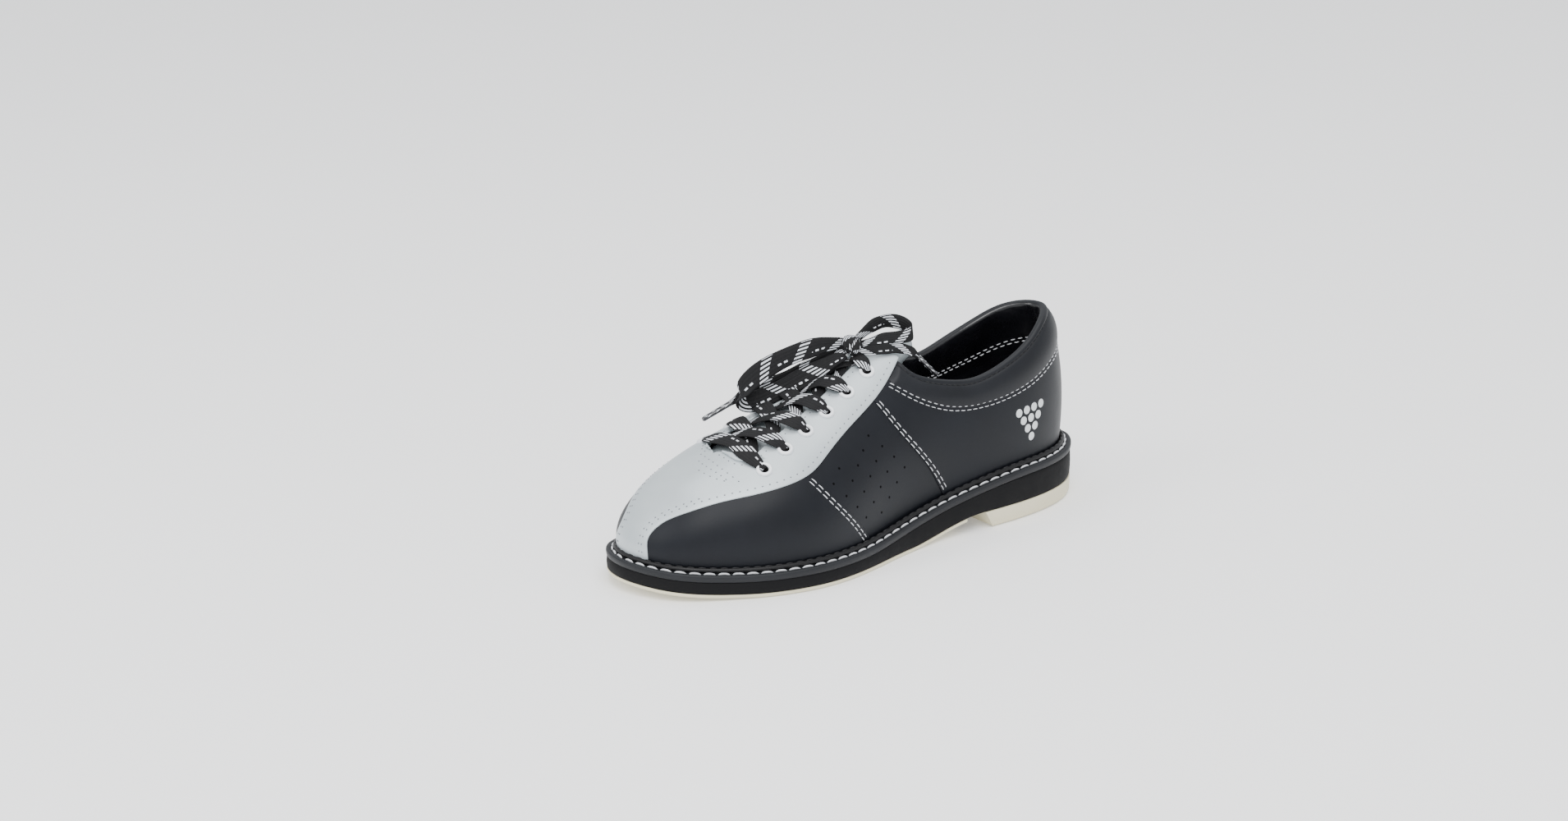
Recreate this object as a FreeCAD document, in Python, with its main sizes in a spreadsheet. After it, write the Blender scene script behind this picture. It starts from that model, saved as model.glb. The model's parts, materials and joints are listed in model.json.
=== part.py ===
"""Left bowling shoe: stitched welt sole, panelled leather upper, padded tongue and a tied flat lace.

Frame: +Z up, toe towards -Y, outer (lateral) side towards +X, origin under the middle of the
bounding box on the floor plane. All lengths are millimetres.

The upper lies on one smooth last surface. A place on it is the pair (run, rise): run goes from
0 at the toe tip to 1 at the heel along the outer side, and below 0 or beyond 1 it continues round
the toe or the heel onto the inner side; rise goes from 0 at the welt to 1 on the centre ridge.
"""
import FreeCAD, Part
import math
import os
from FreeCAD import Placement, Rotation, Vector

# ---------------------------------------------------------------- driving sizes

SIZES = {
    "sole_length": 290.0,
    "sole_width": 106.4,
    "instep_height": 92.6,
    "outsole_thickness": 1.8,
    "midsole_thickness": 6.4,
    "welt_thickness": 3.8,
    "heel_pad_thickness": 9.0,
    "heel_pad_length": 87.0,
    "heel_rise": 15.0,
    "glue_line": 0.1,
    "toe_spring": 4.5,
    "welt_margin": 7.2,
    "welt_inside": 6.0,
    "sole_edge_inset": 0.4,
    "bead_height": 2.3,
    "bead_width": 2.3,
    "bead_clearance": 1.1,
    "board_thickness": 2.0,
    "footbed_thickness": 3.2,
    "shank_length": 104.0,
    "shank_width": 14.0,
    "shank_thickness": 1.2,
    "skin_thickness": 1.4,
    "stiffener_thickness": 0.9,
    "lining_thickness": 0.7,
    "collar_foam_thickness": 3.4,
    "layer_gap": 0.15,
    "seam_gap": 0.24,
    "tongue_clearance": 0.6,
    "tongue_skin_thickness": 0.8,
    "tongue_foam_thickness": 2.6,
    "tongue_layer_gap": 0.4,
    "tongue_width": 37.0,
    "tongue_length": 118.0,
    "tongue_tuck": 8.0,
    "eyelet_outer": 7.2,
    "eyelet_bore": 4.4,
    "eyelet_barrel": 5.4,
    "eyelet_flange": 0.6,
    "eyelet_spacing": 15.7,
    "eyelet_row_front": 48.8,
    "eyelet_row_rear": 24.4,
    "lace_width": 7.5,
    "lace_thickness": 1.2,
    "lace_tube": 3.2,
    "lace_lift": 0.25,
    "knot_length": 13.0,
    "knot_width": 11.0,
    "knot_height": 10.0,
    "aglet_length": 17.0,
    "aglet_diameter": 3.0,
}

doc = FreeCAD.newDocument("bowling_shoe")
sheet = doc.addObject("Spreadsheet::Sheet", "sizes")
for row, (alias, value) in enumerate(SIZES.items(), start=1):
    sheet.set(f"A{row}", alias)
    sheet.set(f"B{row}", str(value))
    sheet.setAlias(f"B{row}", alias)
doc.recompute()


def size(alias):
    """The value of one driving size, read from the sheet."""
    return float(sheet.get(alias))


# ---------------------------------------------------------------- curves

def cubic_through(stations, values):
    """A natural cubic curve through the values at the stations, as a function of the station."""
    count = len(stations)
    step = [stations[i + 1] - stations[i] for i in range(count - 1)]
    bend = [0.0] * count
    weight = [1.0] * count
    ahead = [0.0] * count
    for i in range(1, count - 1):
        pull = 6 * ((values[i + 1] - values[i]) / step[i] - (values[i] - values[i - 1]) / step[i - 1])
        share = (step[i - 1] / weight[i - 1]) if i > 1 else 0.0
        weight[i] = 2 * (step[i - 1] + step[i]) - share * ahead[i - 1]
        bend[i] = pull - share * bend[i - 1]
        ahead[i] = step[i]
    for i in range(count - 2, 0, -1):
        bend[i] = (bend[i] - ahead[i] * bend[i + 1]) / weight[i]
    bend[0] = bend[-1] = 0.0

    def curve(station):
        i = 0
        while i < count - 2 and station > stations[i + 1]:
            i += 1
        left = stations[i + 1] - station
        right = station - stations[i]
        cubic = (bend[i] * left ** 3 + bend[i + 1] * right ** 3) / (6 * step[i])
        low = (values[i] / step[i] - bend[i] * step[i] / 6) * left
        return cubic + low + (values[i + 1] / step[i] - bend[i + 1] * step[i] / 6) * right

    return curve


class Line:
    """A smooth open line through pairs, read by a fraction of its length or between its points."""

    def __init__(self, pairs):
        self.pairs = pairs
        self.marks = [0.0]
        for here, there in zip(pairs, pairs[1:]):
            self.marks.append(self.marks[-1] + math.dist(here, there))
        self.first = cubic_through(self.marks, [pair[0] for pair in pairs])
        self.second = cubic_through(self.marks, [pair[1] for pair in pairs])

    def between(self, start, end):
        """The stretch from point number start to point number end, as a function of 0..1."""
        low, high = self.marks[start], self.marks[end]

        def stretch(share):
            mark = low + (high - low) * share
            return self.first(mark), self.second(mark)

        return stretch

    def whole(self):
        """The whole line as a function of 0..1."""
        return self.between(0, len(self.pairs) - 1)


class Outline:
    """A closed smooth plan outline through points, read by distance along it."""

    OVERLAP = 4
    SAMPLES = 400

    def __init__(self, points):
        ring = points[-self.OVERLAP:] + points + points[:self.OVERLAP + 1]
        marks = [0.0]
        for here, there in zip(ring, ring[1:]):
            marks.append(marks[-1] + math.sqrt(math.dist(here, there)))
        east = cubic_through(marks, [p[0] for p in ring])
        north = cubic_through(marks, [p[1] for p in ring])
        first, last = marks[self.OVERLAP], marks[self.OVERLAP + len(points)]
        self.points = []
        for i in range(self.SAMPLES + 1):
            mark = first + (last - first) * i / self.SAMPLES
            self.points.append((east(mark), north(mark)))
        self.marks = [0.0]
        for here, there in zip(self.points, self.points[1:]):
            self.marks.append(self.marks[-1] + math.dist(here, there))
        self.length = self.marks[-1]

    def at(self, distance):
        """The point at a distance along the outline."""
        distance %= self.length
        low, high = 0, len(self.marks) - 1
        while high - low > 1:
            middle = (low + high) // 2
            if self.marks[middle] <= distance:
                low = middle
            else:
                high = middle
        share = (distance - self.marks[low]) / max(self.marks[high] - self.marks[low], 1e-9)
        (x0, y0), (x1, y1) = self.points[low], self.points[high]
        return x0 + (x1 - x0) * share, y0 + (y1 - y0) * share

    def mark_of(self, best):
        """The distance along the outline of its extreme point, by min or max of y."""
        index = best(range(self.SAMPLES), key=lambda i: self.points[i][1])
        return self.marks[index]

    def inset(self, depth, count=44):
        """The same outline moved in by depth, as a new outline."""
        moved = []
        for i in range(count):
            distance = self.length * i / count
            x0, y0 = self.at(distance - 1)
            x1, y1 = self.at(distance + 1)
            x, y = self.at(distance)
            run = math.hypot(x1 - x0, y1 - y0)
            moved.append((x - (y1 - y0) / run * depth, y + (x1 - x0) / run * depth))
        return Outline(moved)


def ease(share):
    """Smooth step from 0 to 1."""
    share = max(0.0, min(1.0, share))
    return share * share * (3 - 2 * share)


# ---------------------------------------------------------------- sole plan and side profile

PATTERN_LENGTH = 290.4
PATTERN_WIDTH = 106.4
PATTERN_MARGIN = 3.2
STATIONS = (-132, -115, -90, -60, -30, 0, 30, 60, 90, 115, 132)
OUTER_HALF = (24, 36, 47.5, 54, 50.5, 42.5, 38, 37.5, 36, 30, 19)
INNER_HALF = (26, 36, 44, 46, 41, 34, 30, 30, 32.5, 28.5, 18.5)
TOE_TIP = (-3, -142)
HEEL_BACK = (0, 142)

length_scale = size("sole_length") / PATTERN_LENGTH
width_scale = size("sole_width") / PATTERN_WIDTH


def stitch_points():
    """The welt stitch line, from the toe tip round the outer side, the heel and the inner side."""
    outer = [(x, y) for x, y in zip(OUTER_HALF, STATIONS)]
    inner = [(-x, y) for x, y in zip(reversed(INNER_HALF), reversed(STATIONS))]
    points = [TOE_TIP] + outer + [HEEL_BACK] + inner
    return [(x * width_scale, y * length_scale) for x, y in points]


welt_outline = Outline(stitch_points()).inset(-PATTERN_MARGIN)
feather = welt_outline.inset(size("welt_margin"))
toe_mark = feather.mark_of(min)
heel_mark = feather.mark_of(max)
outer_span = (heel_mark - toe_mark) % feather.length
inner_span = (toe_mark - heel_mark) % feather.length

SPRING_START = -85 * length_scale
SPRING_RUN = 57 * length_scale
ARCH_START = 5 * length_scale
RISE_START = -35 * length_scale
RISE_RUN = 130 * length_scale
heel_front = size("sole_length") / 2 - size("heel_pad_length")


def toe_lift(y):
    """How far the toe rises off the floor at station y."""
    return size("toe_spring") * max(0.0, (SPRING_START - y) / SPRING_RUN) ** 2


def outsole_bottom(y):
    """The walking face of the forefoot and the arch above the floor."""
    climb = size("heel_pad_thickness") - size("outsole_thickness")
    return toe_lift(y) + climb * ease((y - ARCH_START) / (heel_front - ARCH_START))


def midsole_bottom(y):
    """The under face of the midsole."""
    return outsole_bottom(y) + size("outsole_thickness")


def seat(y):
    """The top face of the welt, which the upper stands on."""
    front = size("outsole_thickness") + size("midsole_thickness") + size("welt_thickness")
    return front + size("heel_rise") * ease((y - RISE_START) / RISE_RUN) + toe_lift(y)


# ---------------------------------------------------------------- the last surface

RIDGE_STATIONS = (-150, -128, -104, -85, -65, -45, -20, 5, 30, 55, 80, 110, 140)
RIDGE_HEIGHTS = (34, 46, 55.5, 61.5, 68, 74.5, 84, 94.5, 104, 111, 117, 124, 130)
PATTERN_INSTEP = 92.6
WALL_STATIONS = (-140, -100, -60, 0, 60, 100, 140)
WALL_FULLNESS = (0.09, 0.08, 0.05, 0.02, 0.03, 0.05, 0.06)
FOOT_BULGE = 0.135
TOE_FAN = (-40.0, 98.0, 40.0)
HEEL_FAN = (20.0, 118.0, 46.0)

ridge_height = cubic_through(RIDGE_STATIONS, RIDGE_HEIGHTS)
wall_fullness = cubic_through(WALL_STATIONS, WALL_FULLNESS)
height_scale = size("instep_height") / PATTERN_INSTEP


def ridge(y):
    """The height of the centre ridge at station y."""
    return ridge_height(y / length_scale) * height_scale


def ridge_station(y):
    """The station on the ridge that the profile from station y on the welt climbs to."""
    y /= length_scale
    moved = y
    start, run, reach = TOE_FAN
    if y < start:
        moved += reach * ((start - y) / run) ** 2
    start, run, reach = HEEL_FAN
    if y > start:
        moved -= reach * ((y - start) / run) ** 2
    return moved * length_scale


def side_of(run):
    """Side of the shoe (+1 outer, -1 inner) and the share of the way from toe to heel."""
    if run < 0:
        return -1, -run
    if run > 1:
        return -1, 2 - run
    return 1, run


def bare(side, along, rise):
    """A point of the last, with no offset."""
    if side > 0:
        x_foot, y_foot = feather.at(toe_mark + outer_span * along)
    else:
        x_foot, y_foot = feather.at(toe_mark - inner_span * along)
    y_top = ridge_station(y_foot)
    angle = rise * math.pi / 2
    full = 1 + wall_fullness(y_foot / length_scale) * math.sin(2 * angle) ** 2
    out = math.cos(angle) * full + FOOT_BULGE * math.sin(math.pi * rise) * (1 - rise) ** 2
    y = y_top + (y_foot - y_top) * out
    foot = seat(y_foot)
    return Vector(x_foot * out, y, foot + (ridge(y) - foot) * math.sin(angle) * full)


def normal(side, along, rise):
    """The outward direction of the last at a place."""
    step = 1e-3
    forward = bare(side, min(1, along + step), rise) - bare(side, max(0, along - step), rise)
    upward = bare(side, along, min(1, rise + step)) - bare(side, along, max(0, rise - step))
    return (forward.cross(upward) * side).normalize()


def on_last(place, offset=0.0):
    """The point at (run, rise), moved out from the last by offset."""
    run, rise = place
    side, along = side_of(run)
    return bare(side, along, rise) + normal(side, along, rise) * offset


def place_above(x, y):
    """The (run, rise) of the last's point that lies over a plan position."""
    side = 1 if x >= 0 else -1
    along = 0.5 + y / (0.95 * size("sole_length"))
    rise = 0.8
    step = 1e-4
    for _ in range(14):
        here = bare(side, along, rise)
        if rise > 0.9999 and abs(x) < 0.01:
            rise = 1.0
        shift = bare(side, along + step, rise) - here
        lift = bare(side, along, rise - step) - here
        a, b = shift.x / step, -lift.x / step
        c, d = shift.y / step, -lift.y / step
        miss_x, miss_y = x - here.x, y - here.y
        scale = a * d - b * c
        if abs(scale) < 1e-9:
            break
        along += max(-0.05, min(0.05, (miss_x * d - miss_y * b) / scale))
        rise += max(-0.1, min(0.1, (a * miss_y - c * miss_x) / scale))
        along = max(0.001, min(0.999, along))
        rise = max(0.001, min(1.0, rise))
    return (along if side > 0 else -along), rise


def above(x, y, offset=0.0):
    """The last's point over a plan position, moved out by offset."""
    return on_last(place_above(x, y), offset)


# ---------------------------------------------------------------- seam lines on the last

STRIPE_EDGE = Line([(0.041, 0.0), (0.041, 0.20), (0.050, 0.42), (0.088, 0.498), (0.145, 0.515),
                    (0.206, 0.503), (0.262, 0.488), (0.321, 0.487), (0.375, 0.536), (0.440, 0.588),
                    (0.508, 0.620), (0.539, 0.652), (0.581, 0.735)])
STRIPE_CORNER, STRIPE_CROSS, STRIPE_FRONT_SEAM = 2, 5, 7
STRIPE_REAR_SEAM, STRIPE_COLLAR, STRIPE_END = 10, 11, 12
FRONT_SEAM = Line([(0.436, 0.0), (0.389, 0.168), (0.354, 0.307), (0.321, 0.487)])
REAR_SEAM = Line([(0.640, 0.0), (0.605, 0.144), (0.570, 0.272), (0.533, 0.432), (0.508, 0.620)])
COLLAR_SEAM = [(0.539, 0.652), (0.580, 0.490), (0.626, 0.384), (0.666, 0.330), (0.744, 0.287),
               (0.835, 0.293), (0.904, 0.325), (1.0, 0.345)]
TOPLINE = [(0.581, 0.735), (0.601, 0.587), (0.666, 0.459), (0.715, 0.417), (0.779, 0.418),
           (0.850, 0.449), (0.910, 0.485), (1.0, 0.495)]
RIDGE_CROSS = (0.105, 1.0)
LINING_FOOT = (0.30, 0.0)
THROAT_CENTRE_FRONT = 4.0
THROAT_EDGE_FRONT = 9.5
THROAT_EDGE_REAR = 7.5
THROAT_FRONT = -87.0
FACING_TOP = 13.0
EYELET_FIRST = -78.0
EYELETS = 6

row_front = EYELET_FIRST * length_scale
row_rear = row_front + (EYELETS - 1) * size("eyelet_spacing")


def row_share(y):
    """Share of the way along the eyelet row at station y."""
    return (y - row_front) / (row_rear - row_front)


def throat_centre(y):
    """The lace line's x at station y: it runs in towards the ridge as it climbs."""
    return THROAT_CENTRE_FRONT * max(0.0, min(1.0, 1 - row_share(y)))


def eyelet_reach(y):
    """Distance of the eyelet rows from the lace line."""
    share = row_share(y)
    return (size("eyelet_row_front") * (1 - share) + size("eyelet_row_rear") * share) / 2


def throat_reach(y):
    """Distance of the facing edges from the lace line."""
    share = row_share(y)
    return eyelet_reach(y) - (THROAT_EDGE_FRONT * (1 - share) + THROAT_EDGE_REAR * share)


def mirrored(function):
    """The same line or patch on the inner side."""
    def inner(*shares):
        run, rise = function(*shares)
        return -run, rise
    return inner


def throat_edge(side):
    """The facing's inner edge: up the centre from the toe stripe, round the throat and to the top."""
    front = THROAT_FRONT * length_scale
    turn = row_front - 2 * length_scale
    stations = [turn + (FACING_TOP * length_scale - turn) * i / 6 for i in range(7)]
    plan = [(0.02 * side, front - 3), (side * 0.55 * throat_reach(turn), front + 1.5)]
    plan += [(throat_centre(y) + side * throat_reach(y), y) for y in stations]
    places = [place_above(x, y) for x, y in plan]
    cross = (side * RIDGE_CROSS[0], RIDGE_CROSS[1])
    return Line([cross] + places)


def straight(start, end):
    """A straight line between two places."""
    return Line([start, end]).whole()


def coons(foot, head, front, rear):
    """A four-sided patch: foot and head run front to rear, front and rear run foot to head."""
    corners = [foot(0), foot(1), head(0), head(1)]

    def patch(along, up):
        ends = []
        for axis in (0, 1):
            rows = (1 - up) * foot(along)[axis] + up * head(along)[axis]
            columns = (1 - along) * front(up)[axis] + along * rear(up)[axis]
            flat = ((1 - along) * (1 - up) * corners[0][axis] + along * (1 - up) * corners[1][axis]
                    + (1 - along) * up * corners[2][axis] + along * up * corners[3][axis])
            ends.append(rows + columns - flat)
        return tuple(ends)

    return patch


def with_corner(first, second, share):
    """Two lines end to end as one, turning the corner between them at a share of the way."""
    def line(along):
        if along < share:
            return first(along / share)
        return second((along - share) / (1 - share))
    return line


def both_ways(points):
    """A line on the outer side continued over the heel onto the inner side."""
    return Line(points + [(2 - run, rise) for run, rise in reversed(points[:-1])]).whole()


# ---------------------------------------------------------------- solids on the last

parts = {}


def keep(node, feature):
    """Register a sub-part under its node name."""
    feature.Label = node
    parts[node] = feature
    return feature


def solid_between(upper, lower):
    """A closed solid between two grids of points of the same layout."""
    faces = []
    surfaces = []
    for grid in (upper, lower):
        surface = Part.BSplineSurface()
        surface.interpolate(grid)
        surfaces.append(surface)
        faces.append(surface.toShape())
    top, bottom = surfaces
    u0, u1, v0, v1 = top.bounds()
    a0, a1, b0, b1 = bottom.bounds()
    rims = [(top.uIso(u0), bottom.uIso(a0)), (top.uIso(u1), bottom.uIso(a1)),
            (top.vIso(v0), bottom.vIso(b0)), (top.vIso(v1), bottom.vIso(b1))]
    for above_edge, below_edge in rims:
        faces.append(Part.makeRuledSurface(above_edge.toShape(), below_edge.toShape()))
    shell = Part.makeShell(faces)
    shell.sewShape()
    solid = Part.makeSolid(shell)
    if solid.Volume < 0:
        solid.reverse()
    return solid


def grid_of(patch, offset, columns, rows, gap):
    """Points of a patch at an offset, held back from its four edges by a gap."""
    middle = [on_last(patch(i / 8, 0.5)) for i in range(9)]
    centre = [on_last(patch(0.5, i / 8)) for i in range(9)]
    long_way = sum(p.distanceToPoint(q) for p, q in zip(middle, middle[1:]))
    short_way = sum(p.distanceToPoint(q) for p, q in zip(centre, centre[1:]))
    edge_u, edge_v = gap / 2 / long_way, gap / 2 / short_way
    grid = []
    for i in range(columns):
        along = edge_u + (1 - 2 * edge_u) * i / (columns - 1)
        line = []
        for j in range(rows):
            up = edge_v + (1 - 2 * edge_v) * j / (rows - 1)
            line.append(on_last(patch(along, up), offset))
        grid.append(line)
    return grid


def skin_shape(patch, outer, inner, columns, rows):
    """A panel's solid: the patch between two offsets from the last."""
    gap = size("seam_gap")
    return solid_between(grid_of(patch, outer, columns, rows, gap),
                         grid_of(patch, inner, columns, rows, gap))


def feature_of(node, shape):
    """A Part::Feature with a ready shape, as a sub-part."""
    feature = doc.addObject("Part::Feature", node)
    feature.Shape = shape
    return keep(node, feature)


def skin(node, patch, outer, inner, columns=13, rows=9):
    """A panel on the last, as a sub-part."""
    return feature_of(node, skin_shape(patch, outer, inner, columns, rows))


skin_in = -size("skin_thickness")
stiff_out = skin_in - size("layer_gap")
stiff_in = stiff_out - size("stiffener_thickness")
lining_out = stiff_in - size("layer_gap")
lining_in = lining_out - size("lining_thickness")
facing_in = stiff_out - size("lining_thickness")
foam_in = stiff_out - size("collar_foam_thickness")
collar_lining_out = foam_in - size("layer_gap")
collar_lining_in = collar_lining_out - size("lining_thickness")


# ---------------------------------------------------------------- sole layers

def plan_face(outline, hole=None, count=60):
    """A flat face inside an outline, less the area inside a second one."""
    wires = []
    for ring in [outline] + ([hole] if hole else []):
        curve = Part.BSplineCurve()
        points = [Vector(*ring.at(ring.length * i / count), 0) for i in range(count)]
        curve.interpolate(Points=points, PeriodicFlag=True)
        wires.append(Part.Wire([curve.toShape()]))
    return Part.Face(wires, "Part::FaceMakerBullseye")


def side_face(top, bottom, front, rear, slant=0.0, stations=17):
    """A face in the YZ plane between two height functions, for a prism along X."""
    top_line = Part.BSplineCurve()
    low_line = Part.BSplineCurve()
    ys = [front + (rear - front) * i / (stations - 1) for i in range(stations)]
    low_ys = [front + slant + (rear - front - slant) * i / (stations - 1) for i in range(stations)]
    top_line.interpolate([Vector(0, y, top(y)) for y in ys])
    low_line.interpolate([Vector(0, y, bottom(y)) for y in low_ys])
    edges = [top_line.toShape(), low_line.toShape(),
             Part.makeLine(top_line.StartPoint, low_line.StartPoint),
             Part.makeLine(top_line.EndPoint, low_line.EndPoint)]
    return Part.Face(Part.Wire(Part.__sortEdges__(edges)))


def helper(name, shape):
    """A construction shape that is no sub-part."""
    feature = doc.addObject("Part::Feature", name)
    feature.Shape = shape
    return feature


def extruded(name, face, direction, expression):
    """A Part::Extrusion of a construction face along an axis, its length bound to the sheet."""
    extrusion = doc.addObject("Part::Extrusion", name)
    extrusion.Base = helper(name + "_face", face)
    extrusion.DirMode = "Custom"
    extrusion.Dir = direction
    extrusion.Solid = True
    extrusion.setExpression("LengthFwd", expression)
    if direction.x:
        extrusion.Symmetric = True
    return extrusion


def layer(node, plan, top, bottom, front=None, rear=None, slant=0.0):
    """A sole layer: the plan outline raised through the shoe, common with its side profile."""
    reach = size("sole_length") / 2 + 5
    front = -reach if front is None else front
    rear = reach if rear is None else rear
    column = extruded(node + "_plan", plan, Vector(0, 0, 1), "sizes.instep_height")
    slab = extruded(node + "_side", side_face(top, bottom, front, rear, slant),
                    Vector(1, 0, 0), "sizes.sole_width * 2")
    common = doc.addObject("Part::Common", node)
    common.Base = column
    common.Tool = slab
    return keep(node, common)


HEEL_BEVEL = 5.0
OUTSOLE_END = 12.0
edge_outline = welt_outline.inset(size("sole_edge_inset"))
welt_hole = feather.inset(size("welt_inside"))
inner_wall = -lining_in + 0.5
layer_gap = size("layer_gap")


def filler_top(y):
    """The filler's top face, under the shank."""
    return seat(y) - size("shank_thickness") - 2 * layer_gap


def midsole_top(y):
    """The midsole's top face, under the welt and the filler."""
    return seat(y) - size("welt_thickness")


def board_bottom(y):
    """The insole board's under face, on the welt and the shank."""
    return seat(y) + layer_gap


def board_top(y):
    """The insole board's top face."""
    return board_bottom(y) + size("board_thickness")


layer("forefoot_outsole", plan_face(edge_outline), midsole_bottom, outsole_bottom,
      rear=heel_front - OUTSOLE_END)
layer("heel_pad", plan_face(edge_outline), lambda y: size("heel_pad_thickness") - size("glue_line"),
      lambda y: 0.0, front=heel_front, slant=HEEL_BEVEL)
layer("midsole", plan_face(edge_outline), midsole_top, midsole_bottom)
layer("welt", plan_face(welt_outline, welt_hole), seat, midsole_top)
layer("bottom_filler", plan_face(welt_hole.inset(layer_gap)), filler_top,
      lambda y: midsole_top(y) + layer_gap)
layer("insole_board", plan_face(feather.inset(inner_wall)), board_top, board_bottom)
layer("footbed", plan_face(feather.inset(inner_wall + 0.4)),
      lambda y: board_top(y) + layer_gap + size("footbed_thickness"),
      lambda y: board_top(y) + layer_gap)
bead_inner = feather.inset(-size("bead_clearance"))
layer("welt_bead", plan_face(bead_inner.inset(-size("bead_width")), bead_inner),
      lambda y: seat(y) + layer_gap + size("bead_height"), lambda y: seat(y) + layer_gap)


# ---------------------------------------------------------------- parametric bodies

def new_body(node):
    """A PartDesign body as a sub-part."""
    return keep(node, doc.addObject("PartDesign::Body", node))


def sketch_on(body, role, name):
    """A sketch on one of the body's own origin planes."""
    sketch = body.newObject("Sketcher::SketchObject", name)
    plane = [item for item in body.Origin.OriginFeatures if item.Role == role][0]
    sketch.AttachmentSupport = [(plane, "")]
    sketch.MapMode = "FlatFace"
    return sketch


def closed_polygon(sketch, corners):
    """Lines through the corners and back to the first."""
    for start, end in zip(corners, corners[1:] + corners[:1]):
        sketch.addGeometry(Part.LineSegment(Vector(*start, 0), Vector(*end, 0)), False)


def shank_body():
    """The spring-steel strip under the arch: a bent flat bar that follows the seat's rise."""
    body = new_body("steel_shank")
    sketch = sketch_on(body, "YZ_Plane", "shank_side")
    rear = heel_front + 26 * length_scale
    front = rear - size("shank_length")
    stations = [front + (rear - front) * i / 8 for i in range(9)]
    top = [(y, seat(y) - layer_gap) for y in stations]
    low = [(y, z - size("shank_thickness")) for y, z in top]
    closed_polygon(sketch, top + low[::-1])
    pad = body.newObject("PartDesign::Pad", "shank_strip")
    pad.Profile = sketch
    pad.Midplane = True
    pad.setExpression("Length", "sizes.shank_width")


shank_body()


def revolved(body, name, profile):
    """A turned piece about the body's Z axis, from (radius, height) corners."""
    sketch = sketch_on(body, "XZ_Plane", name + "_profile")
    closed_polygon(sketch, profile)
    turn = body.newObject("PartDesign::Revolution", name)
    turn.Profile = sketch
    turn.ReferenceAxis = (sketch, ["V_Axis"])
    turn.Angle = 360


def placed_on(point, direction):
    """A placement at a point with local Z along a direction."""
    return Placement(point, Rotation(Vector(0, 0, 1), direction))


# ---------------------------------------------------------------- upper panels

def eyestay_patch(side):
    """The facing beside the lace: outer edge, throat edge, the seam to the stripe and the top."""
    sign = (lambda line: line) if side > 0 else mirrored
    outer = sign(STRIPE_EDGE.between(STRIPE_CROSS, STRIPE_END))
    inner = throat_edge(side).whole()
    front = straight(outer(0), inner(0))
    rear = straight(outer(1), inner(1))
    return coons(outer, inner, front, rear)


def stripe_patch(across, along):
    """The toe stripe: across runs from the inner edge (0) over the centre to the outer edge (1)."""
    turn = 0.84
    edge = STRIPE_EDGE.between(0, STRIPE_CROSS)(along)
    if along < turn:
        centre = (0.0, along / turn)
    else:
        centre = ((along - turn) / (1 - turn) * RIDGE_CROSS[0], 1.0)
    share = abs(2 * across - 1)
    run = centre[0] + (edge[0] - centre[0]) * share
    rise = centre[1] + (edge[1] - centre[1]) * share
    return (run if across >= 0.5 else -max(run, 1e-6)), rise


QUARTER_COLUMNS = 25
VAMP_COLUMNS = 21
QUARTER_CORNER = ((0.5105, 0.608), (0.540, 0.636))
side_patches = {
    "vamp": coons(straight((0.041, 0.0), FRONT_SEAM.pairs[0]),
                  STRIPE_EDGE.between(STRIPE_CORNER, STRIPE_FRONT_SEAM),
                  STRIPE_EDGE.between(0, STRIPE_CORNER), FRONT_SEAM.whole()),
    "side_panel": coons(straight(FRONT_SEAM.pairs[0], REAR_SEAM.pairs[0]),
                        STRIPE_EDGE.between(STRIPE_FRONT_SEAM, STRIPE_REAR_SEAM),
                        FRONT_SEAM.whole(), REAR_SEAM.whole()),
    "heel_quarter": coons(straight(REAR_SEAM.pairs[0], (1.0, 0.0)),
                          with_corner(straight(*QUARTER_CORNER),
                                      Line([QUARTER_CORNER[1]] + COLLAR_SEAM[1:]).whole(),
                                      2 / (QUARTER_COLUMNS - 1)),
                          Line(REAR_SEAM.pairs[:-1] + [QUARTER_CORNER[0]]).whole(),
                          straight((1.0, 0.0), COLLAR_SEAM[-1])),
    "vamp_lining": coons(straight((0.0, 0.0), LINING_FOOT), straight((0.0, 1.0), RIDGE_CROSS),
                         straight((0.0, 0.0), (0.0, 1.0)),
                         Line([LINING_FOOT, (0.206, 0.503), RIDGE_CROSS]).whole()),
    "quarter_lining": coons(straight(LINING_FOOT, (1.0, 0.0)),
                            Line([STRIPE_EDGE.pairs[STRIPE_CROSS], STRIPE_EDGE.pairs[STRIPE_FRONT_SEAM],
                                  STRIPE_EDGE.pairs[STRIPE_REAR_SEAM]] + COLLAR_SEAM[1:]).whole(),
                            straight(LINING_FOOT, (0.206, 0.503)),
                            straight((1.0, 0.0), COLLAR_SEAM[-1])),
}
OUTER_SKINS = ("vamp", "side_panel", "heel_quarter")
for side, word in ((1, "lateral"), (-1, "medial")):
    for name, patch in side_patches.items():
        placed = patch if side > 0 else mirrored(patch)
        if name in OUTER_SKINS:
            columns = QUARTER_COLUMNS if name == "heel_quarter" else VAMP_COLUMNS
            skin(f"{name}_{word}", placed, 0.0, skin_in, columns=columns)
        else:
            skin(f"{name}_{word}", placed, lining_out, lining_in, columns=15)

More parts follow.
